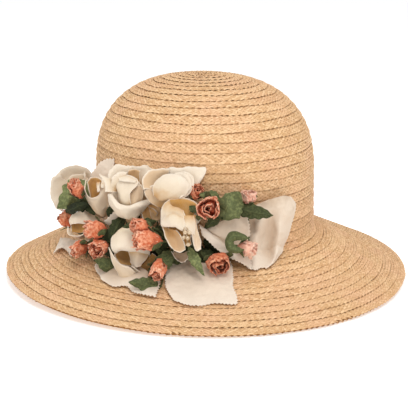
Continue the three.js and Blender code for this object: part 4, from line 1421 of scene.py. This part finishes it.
for number, leaf in enumerate(LEAVES):
    tail, tip = leaf_ends(leaf)
    seed = FIRST_LEAF_SEED + number
    blade = leaf_blade(tail, tip, leaf["width"], leaf["tone"], LEAF_GRID, LEAF_DENTS, seed)
    joined_piece(leaf["name"] + "_blade", [blade], green, "green_cloth", leaf["name"])
print(len(LEAVES), "leaves")

# %% [markdown]
# The calyx is a cut green ring that holds the pale bud at the right. It is drawn as a petal is, along its
# curve.

# %% Calyx
CALYX = {"name": "calyx", "around": -9, "radius": 118, "height": 17}
CALYX_WALL = 0.9
CALYX_GRID = 36
CALYX_SEED = 52
CALYX_DRAWN = petal(0.5, 0.0,
                    [(12, 2.2, 3), (12.3, 2.8, 3)],
                    [(7, 1.2, 5), (8, 4.4, 6), (6.5, 7, 4)],
                    [(1.5, 1, 5), (1, 5.5, 8), (0, 9.4, 4)],
                    [(-2.2, 0, 5), (-5, 4, 8), (-7, 8, 4)],
                    [(-3, -1, 5), (-7, -1, 8), (-10.6, -1, 3)],
                    [(-2, -3, 5), (-5, -6, 8), (-8, -9.5, 4)],
                    [(2.5, -6, 5), (1, -9, 7), (-1.5, -11.8, 4)],
                    [(6, -7.6, 5), (5.5, -9.5, 5.5), (5, -10.8, 4)],
                    [(8, -7.8, 3), (8, -8.6, 3)])


def calyx_piece():
    points, across, along = drawn_sheet(CALYX_DRAWN, point_around(CALYX), CALYX_GRID, CALYX_SEED)
    ring = sheet_arrays(points, across, along, CALYX_WALL, CALYX_DRAWN["stain_and_shade"])
    return joined_piece("calyx_ring", [ring], green, "green_cloth", CALYX["name"])


calyx_piece()
print("calyx round the pale bud")

# %% [markdown]
# Every flower is wired. The stems run back under the flowers and are bound into one sprig, which is sewn down
# in the corner where the crown meets the brim. Small dark leaves stand along the sprig, in turn up the crown,
# out over the brim and between the two. Their dark tone is partly the cloth's own colour and partly painted
# shade, and makes the depth between the flowers dark and green.

# %% The sprig and its leaves
SPRIG_LIFT = 3.2
SPRIG_FROM = -94
SPRIG_TO = 2
SPRIG_ROW = CROWN_ROWS + 0.9
SPRIG_LEAVES = 26
SPRIG_LEAVES_FROM = SPRIG_FROM + 4
SPRIG_LEAVES_TO = SPRIG_TO - 14
SPRIG_LEAF_LENGTH = 17
SPRIG_LEAF_WIDTH = 8
SPRIG_LEAF_RISES = (0.9, 0.05, 0.45)
SPRIG_LEAF_SWING = 0.5
# The small leaves' dark tones are partly the cloth's own colour and partly painted shade.
SPRIG_LEAF_SHADE_TONES = (0.12, 0.22)
SMALL_LEAF_GRID = (12, 24)
SMALL_LEAF_DENTS = (0.6, 4)


def sprig_point(around):
    """A point of the sprig, in the corner between the crown and the brim."""
    angle = np.radians(np.asarray(around, float) - 90)
    point, _ = straw_surface(SPRIG_ROW, SPRIG_LIFT, angle)
    return point


def sprig_leaves_piece():
    parts = []
    for number, around in enumerate(np.linspace(SPRIG_LEAVES_FROM, SPRIG_LEAVES_TO, SPRIG_LEAVES)):
        angle = math.radians(around - 90)
        root = sprig_point(around)
        outward = np.array([math.cos(angle), math.sin(angle), 0])
        along_rim = np.array([-math.sin(angle), math.cos(angle), 0])
        rise = SPRIG_LEAF_RISES[number % 3]
        way = outward * (1 - rise) + np.array([0, 0, rise]) + along_rim * SPRIG_LEAF_SWING * (-1) ** number
        tip = root + way / np.linalg.norm(way) * SPRIG_LEAF_LENGTH
        tone = SPRIG_LEAF_SHADE_TONES[number % 2]
        parts.append(leaf_blade(root, tip, SPRIG_LEAF_WIDTH, tone, SMALL_LEAF_GRID, SMALL_LEAF_DENTS, number))
    return joined_piece("sprig_leaves", parts, green, "green_cloth")


sprig_leaves_piece()
print(SPRIG_LEAVES, "small leaves along the sprig")

# %% [markdown]
# A stem is a wire wrapped in green tape. It leaves the foot of its flower or the tail of its leaf straight
# back, and then bends once to the sprig, so every flower is seen to be carried, from any side.

# %% Stems
STEM_RADIUS = 0.75
LEAF_STEM_SHARE = 0.7
SPRIG_RADIUS = 1.5
SPRIG_TONE = 0.2
SPRIG_STEPS = 60
STEM_STEPS = 14
STEM_TONE = 0.3
STEM_PULL = 0.5


def stem_path(start, way, around):
    """From the foot of a flower, first straight back, then in one bend to the sprig."""
    share = np.linspace(0, 1, STEM_STEPS)[:, None]
    end = sprig_point(around)
    pull = start - way * STEM_PULL * np.linalg.norm(end - start)
    path = (1 - share) ** 2 * start + 2 * share * (1 - share) * pull + share ** 2 * end
    return clear_of_straw(path, STEM_RADIUS + STRAW_GAP, OUT_AXIS)


def sprig_arrays():
    """The sprig itself, a tube that thins to about half its width at both ends."""
    around = np.linspace(SPRIG_FROM, SPRIG_TO, SPRIG_STEPS)
    fullness = np.sin(np.linspace(0.1, math.pi - 0.1, SPRIG_STEPS)) ** 0.3
    return tube_arrays(sprig_point(around), SPRIG_RADIUS * fullness, SPRIG_TONE)


def stems_piece():
    parts = [sprig_arrays()]
    for flower in ROSES + BUDS:
        basis, origin = place_of(flower)
        foot = HEART_DEPTH * RING_SIZE * flower["size"] if "size" in flower else flower["length"] / 2
        start = origin - basis[:, 2] * foot
        parts.append(tube_arrays(stem_path(start, basis[:, 2], flower["around"]), STEM_RADIUS, STEM_TONE))
    for leaf in LEAVES:
        tail, _ = leaf_ends(leaf)
        tail = clear_of_straw(tail[None], STRAW_GAP, OUT_AXIS)[0]
        path = stem_path(tail, OUT_AXIS, leaf["around"])
        parts.append(tube_arrays(path, STEM_RADIUS * LEAF_STEM_SHARE, STEM_TONE))
    return joined_piece("flower_stems", parts, green, "green_cloth")


stems_piece()
print("stems for", len(ROSES) + len(BUDS) + len(LEAVES), "flowers and leaves")

# %% [markdown]
# Three sepals cup the foot of each bud. They follow the bud's own outline a little outside it, and their tips
# bend out.

# %% Sepals
SEPALS = 3
SEPAL_STEP = 2.1
SEPAL_WALL = 0.4
SEPAL_TONE = 0.45
SEPAL_GRID = (8, 14)
SEPAL_DENTS = (0.5, 3)
SEPAL_HALF_ANGLE = math.radians(34)


def sepal_points(bud, turn, across, along):
    up = -1.02 + 1.05 * along
    out = np.interp(up, BUD_PROFILE_UP, BUD_PROFILE_OUT) * 1.12 + 0.1 + 0.3 * smooth(along, 0.6, 1)
    angle = turn + across * SEPAL_HALF_ANGLE * (1 - along) ** 0.7
    x = out * np.cos(angle) * bud["width"] / 2
    y = out * np.sin(angle) * bud["width"] / 2
    return np.stack([x, y, up * bud["length"] / 2], -1)


def sepals_piece():
    parts = []
    for number, bud in enumerate(BUDS):
        basis, origin = place_of(bud)
        for sepal in range(SEPALS):
            across, along = grid_of(*SEPAL_GRID)
            points = sepal_points(bud, SEPAL_STEP * sepal + number, across, along)
            points = crumple(points, *SEPAL_DENTS, number) @ basis.T + origin
            points = clear_of_straw(points, STRAW_GAP, OUT_AXIS)
            parts.append(sheet_arrays(points, across, along, SEPAL_WALL, SEPAL_TONE))
    return joined_piece("bud_sepals", parts, green, "green_cloth")


sepals_piece()
print(SEPALS * len(BUDS), "sepals")

# %% [markdown]
# Where the photograph shows dark leaves behind the flowers, a few more small leaves lie over the straw. Each
# goes from one pixel to another, and "lift" is its height over the straw in millimetres.

# %% Leaves under the flowers
# The near-black tones of these leaves are partly the cloth's own colour and partly painted shade.
UNDER_LEAVES = table(
    ("tail_x", "tail_y", "tip_x", "tip_y", "width", "lift", "tone"),
    (88, 203, 66, 212, 8, 30, 0.02),
    (84, 199, 82, 213, 6, 26, 0.05),
    (112, 206, 108, 217, 5, 22, 0.05),
    (86, 202, 95, 215, 7, 22, 0.05),
    (172, 232, 157, 251, 10, 12, 0.05),
    (156, 226, 164, 238, 9, 16, 0.08),
    (150, 224, 140, 234, 9, 14, 0.05),
    (194, 247, 213, 264, 10, 5, 0.02),
    (222, 214, 204, 229, 7, 12, 0.22),
    (90, 243, 96, 262, 7, 5, 0.10),
    (189, 206, 199, 213, 5, 18, 0.35),
    (203, 240, 226, 257, 8, 4, 0.04),
    (118, 228, 106, 246, 12, 10, 0.06),
    (168, 256, 160, 276, 10, 4, 0.10),
    (104, 240, 118, 262, 10, 5, 0.08),
    (160, 262, 148, 282, 9, 4, 0.15))


def under_leaves_piece():
    parts = []
    for number, leaf in enumerate(UNDER_LEAVES):
        tail = on_straw(leaf["tail_x"], leaf["tail_y"], leaf["lift"])
        tip = on_straw(leaf["tip_x"], leaf["tip_y"], leaf["lift"])
        width, tone = leaf["width"], leaf["tone"]
        parts.append(leaf_blade(tail, tip, width, tone, SMALL_LEAF_GRID, SMALL_LEAF_DENTS, number))
    return joined_piece("under_leaves", parts, green, "green_cloth")


under_leaves_piece()
print(len(UNDER_LEAVES), "leaves under the flowers")

# %% [markdown]
# The single petals are cut from ivory cloth with pinking shears, so they have a finely toothed edge. Those
# that lie on the straw are drawn as the camera sees them and then laid on it: a point of a rib is the pixel
# across, the pixel down, the lift off the straw in millimetres, and how much painted shade darkens the cloth
# there, in its folds and where it lies under the flowers.

# %% Single petals that lie on the straw
LAID_PETALS = {
    "petal_front": [
        [(176, 252, 4, 0.6), (200, 250, 5, 0.6), (226, 258, 4, 0.5)],
        [(171.5, 257, 4, 0.4), (186, 262, 3, 0.5), (208, 265, 5, 0.4), (231, 263, 4, 0.3)],
        [(166, 272, 4, 0.1), (186, 275, 2.5, 0.25), (210, 277, 4.5, 0.15), (233, 272.5, 4, 0.1)],
        [(165, 285, 4, 0.05), (186, 289, 3, 0.15), (210, 290, 3.5, 0.1), (234, 287, 3.5, 0.05)],
        [(174, 301, 3, 0), (190, 305.5, 2.5, 0), (212, 303.7, 2.5, 0), (238, 304, 3, 0)]],
    "petal_lower_left": [
        [(100, 259, 4, 0.7), (125, 262, 6, 0.6), (150, 272, 6, 0.4), (160, 281, 4, 0.2)],
        [(95, 265.5, 4, 0.5), (115, 271, 5, 0.7), (140, 278, 5, 0.3), (160, 284, 4, 0.1)],
        [(96, 270.5, 3.5, 0.2), (108, 277, 4, 0.4), (130, 281, 4, 0.1), (146, 286, 4, 0),
         (159.5, 286.5, 3.5, 0)],
        [(101, 279, 3, 0), (113.5, 286, 3, 0.1), (127.6, 286.5, 3, 0), (132, 291, 3, 0), (147, 296, 3, 0),
         (155, 297, 3, 0)]],
    "petal_strip": [
        [(209, 229, 8, 0.3), (222, 220, 8, 0.4), (236, 215, 8, 0.4), (248, 215, 6, 0.4)],
        [(205, 228, 10, 0.4), (219, 235, 9, 0.3), (233, 238, 8, 0.2), (250, 236, 6, 0.1)],
        [(202, 227, 9, 0.6), (219, 238, 9, 0.6), (231, 247.5, 8, 0.6), (250, 252, 4, 0.2)],
        [(200, 225.5, 14, 0), (216, 238, 13, 0), (230, 249, 12, 0), (251, 257, 6, 0)],
        [(202, 236, 16, 0), (213.5, 246.5, 15, 0), (230, 257.5, 12, 0), (252, 269, 3, 0)]],
    "petal_right": [
        [(250, 207, 6, 0.3), (258.5, 204, 6, 0.1), (270, 199, 8, 0), (283, 195.2, 10, 0), (291, 196.5, 9, 0)],
        [(249, 214, 4, 0.5), (258, 213, 7, 0.1), (270, 209, 9, 0), (284, 207, 11, 0), (296, 205, 8, 0)],
        [(247, 224, 3, 0.6), (253, 224, 2, 0.6), (260, 223, 9, 0.05), (270, 222, 5, 0.35), (281, 222, 12, 0),
         (292.5, 220, 7, 0)],
        [(248, 238, 3, 0.4), (256, 238, 7, 0.1), (264, 238, 3, 0.1), (270, 238, 4, 0.5), (279, 238, 12, 0),
         (287.5, 238, 6, 0)],
        [(247, 252, 3, 0.1), (255, 254, 5, 0), (264, 254, 3, 0.15), (270, 252, 3, 0.4), (276, 252, 9, 0.05),
         (282.5, 250, 5, 0)],
        [(249, 268.5, 2.5, 0), (257, 270, 3, 0), (262.5, 267, 2.5, 0), (268, 267.5, 3, 0),
         (273, 262.5, 3, 0.1), (277.5, 259, 3, 0)]],
    "petal_star": [
        [(60.5, 237.5, 5, 0.1), (68, 238, 6, 0.1), (78, 239.5, 7, 0.2), (90, 240, 8, 0.4)],
        [(58, 243, 4, 0), (66, 244, 6, 0), (77, 246, 6, 0), (89, 247, 7, 0.3)],
        [(54, 253.5, 3, 0), (58, 249.5, 4, 0), (61.7, 247.8, 5, 0), (67, 251, 4, 0), (72, 256, 3, 0),
         (77, 253, 4, 0), (86, 252, 5, 0.2)]],
}
CLOTH_WALL = 0.4
TOOTH_DEPTH = 1.1
TOOTH_WIDTH = 1.3
CLOTH_COUNT = 90
CLOTH_GAP = 1.8
CLOTH_DENTS = (1.0, 11)
CLOTH_CREASES = (0.3, 3)
FIRST_LAID_SEED = 60
FIRST_STANDING_SEED = 70


def pinked(points, across, along):
    """Cuts small teeth into the three free edges of a cloth."""
    side = np.gradient(points, axis=1)
    length = np.gradient(points, axis=0)
    side /= np.linalg.norm(side, axis=-1, keepdims=True)
    length /= np.linalg.norm(length, axis=-1, keepdims=True)
    run_side = np.cumsum(np.linalg.norm(np.gradient(points, axis=0), axis=-1), axis=0)
    run_lip = np.cumsum(np.linalg.norm(np.gradient(points, axis=1), axis=-1), axis=1)
    tooth_side = np.abs(run_side / TOOTH_WIDTH % 2 - 1) - 0.5
    tooth_lip = np.abs(run_lip / TOOTH_WIDTH % 2 - 1) - 0.5
    at_side = (tooth_side * np.sign(across) * smooth(np.abs(across), 0.95, 1))[..., None]
    at_lip = (tooth_lip * smooth(along, 0.96, 1))[..., None]
    return points + TOOTH_DEPTH * (side * at_side + length * at_lip)


def cloth_piece(name, smooth_points, seed, tone=0.0):
    across, along = grid_of(CLOTH_COUNT, CLOTH_COUNT)
    points = crumple(pinked(smooth_points, across, along), *CLOTH_DENTS, seed)
    points = crumple(points, *CLOTH_CREASES, seed + 1)
    points = clear_of_straw(points, CLOTH_GAP, OUT_AXIS)
    sheet = sheet_arrays(points, across, along, CLOTH_WALL, tone)
    piece = joined_piece(name + "_cloth", [sheet], ivory_single, "ivory_cloth", name)
    return piece


for number, (name, ribs) in enumerate(LAID_PETALS.items()):
    # The fourth number of each rib point is painted shade, for folds and for cloth under the flowers.
    x, y, lift, painted_shade = np.moveaxis(loft(ribs, CLOTH_COUNT, CLOTH_COUNT), -1, 0)
    painted_shade = np.clip(painted_shade, 0, 1)
    cloth_piece(name, on_straw(x, y, lift), FIRST_LAID_SEED + number, painted_shade)

# %% [markdown]
# Three of the single petals stand clear of the straw: one behind the roses, one between two of them, and a
# curl below the hanging rose, darkened by dye and by painted shade. They are drawn round their own place, as
# the roses are.

# %% Single petals that stand
STANDING = table(
    ("name", "around", "radius", "height", "stain_and_shade", "rests_on"),
    ("petal_back", -74, 89, 55, 0.05, "crown_braid"),
    ("petal_shard", -58, 112, 26, 0.0, "rose_open_petals"),
    ("petal_curl", -28, 117, 6, 0.9, "brim_braid"))
STANDING_RIBS = {
    "petal_back": [
        [(-14, -20, 0), (-4, -20, 0), (6, -18, 2)],
        [(-17, -10, 1), (-6, -8, 0), (6, -7, 3)],
        [(-18, -6, 1), (-14, -1, 1), (-8.5, 6, 0), (-2, 9, 0), (6.5, 9.8, 4)]],
    "petal_shard": [
        [(-1, -6, -3), (5, -8, -3), (11, -6, -3)],
        [(-4, -3, 0), (3, -2, 0), (12, -1, 0)],
        [(-6, -4, 0), (0, 1.5, 1), (6.5, 6.5, 1), (13, 3, 0)]],
    "petal_curl": [
        [(-7, 4, -3), (0, 3, -6), (7, 5, -3)],
        [(-8, 2, 0), (0, -3, -3), (8, 3, 0)],
        [(-8.5, 4, 3), (-5, -3, 3), (1, -6.5, 3), (6.5, -3, 3), (8.5, 4, 3)]],
}

for number, petal_place in enumerate(STANDING):
    origin = point_around(petal_place)
    drawn = loft(STANDING_RIBS[petal_place["name"]], CLOTH_COUNT, CLOTH_COUNT)
    drawn = drawn * depth_of(origin) / LENS_PIXELS
    placed = clear_of_straw(drawn @ PICTURE_AXES + origin, CLOTH_GAP, OUT_AXIS)
    seed = FIRST_STANDING_SEED + number
    cloth_piece(petal_place["name"], placed, seed, petal_place["stain_and_shade"])

# %% [markdown]
# A pale floor and three soft lights, as in a product studio: a large one in front and above, one overhead for
# the crown, and a weak one from the left for the near end of the spray. The world is plain and bright, and
# fills the shadows.

# %% Studio
FLOOR_REACH = 6.0
FLOOR_GLOW = 0.4
FLOOR_GRAIN_SCALE = 3
FLOOR_DARK = (0.93, 0.93, 0.93)
FLOOR_LIGHT = (0.96, 0.96, 0.96)
WHITE = (1, 1, 1, 1)
WORLD_STRENGTH = 0.63
LIGHTS = table(
    ("name", "place", "target", "size", "power"),
    ("key", (-0.1, -1.3, 1.6), (0, 0, 0.05), 0.6, 12),
    ("top", (0, -0.2, 1.7), (0, 0, 0.1), 1.0, 7.5),
    ("side", (-1.2, -0.9, 0.7), (-0.1, 0, 0.03), 0.8, 1))


def make_floor():
    mesh = bpy.data.meshes.new("floor")
    near, far = -FLOOR_REACH, FLOOR_REACH
    mesh.from_pydata([(near, near, 0), (far, near, 0), (far, far, 0), (near, far, 0)], [], [(0, 1, 2, 3)])
    floor = bpy.data.objects.new("floor", mesh)
    bpy.context.scene.collection.objects.link(floor)
    material, tree, shader = new_material("studio_floor", 0.9, 0.1)
    grain = noise_at(tree, object_place(tree), FLOOR_GRAIN_SCALE)
    finish_material(tree, shader, mix_colours(tree, grain, FLOOR_DARK, FLOOR_LIGHT), None)
    shader.inputs["Emission Color"].default_value = WHITE
    shader.inputs["Emission Strength"].default_value = FLOOR_GLOW
    mesh.materials.append(material)


def make_light(row):
    light = bpy.data.lights.new(row["name"], "AREA")
    light.energy = row["power"]
    light.size = row["size"]
    lamp = bpy.data.objects.new(row["name"], light)
    bpy.context.scene.collection.objects.link(lamp)
    lamp.location = row["place"]
    aim = Vector(row["target"]) - Vector(row["place"])
    lamp.rotation_euler = aim.to_track_quat("-Z", "Y").to_euler()


make_floor()
for row in LIGHTS:
    make_light(row)
world = bpy.data.worlds.new("studio")
bpy.context.scene.world = world
world.use_nodes = True
background = world.node_tree.nodes["Background"]
background.inputs["Color"].default_value = WHITE
background.inputs["Strength"].default_value = WORLD_STRENGTH
bpy.context.scene.view_settings.view_transform = "Standard"
print(len(LIGHTS), "lights")
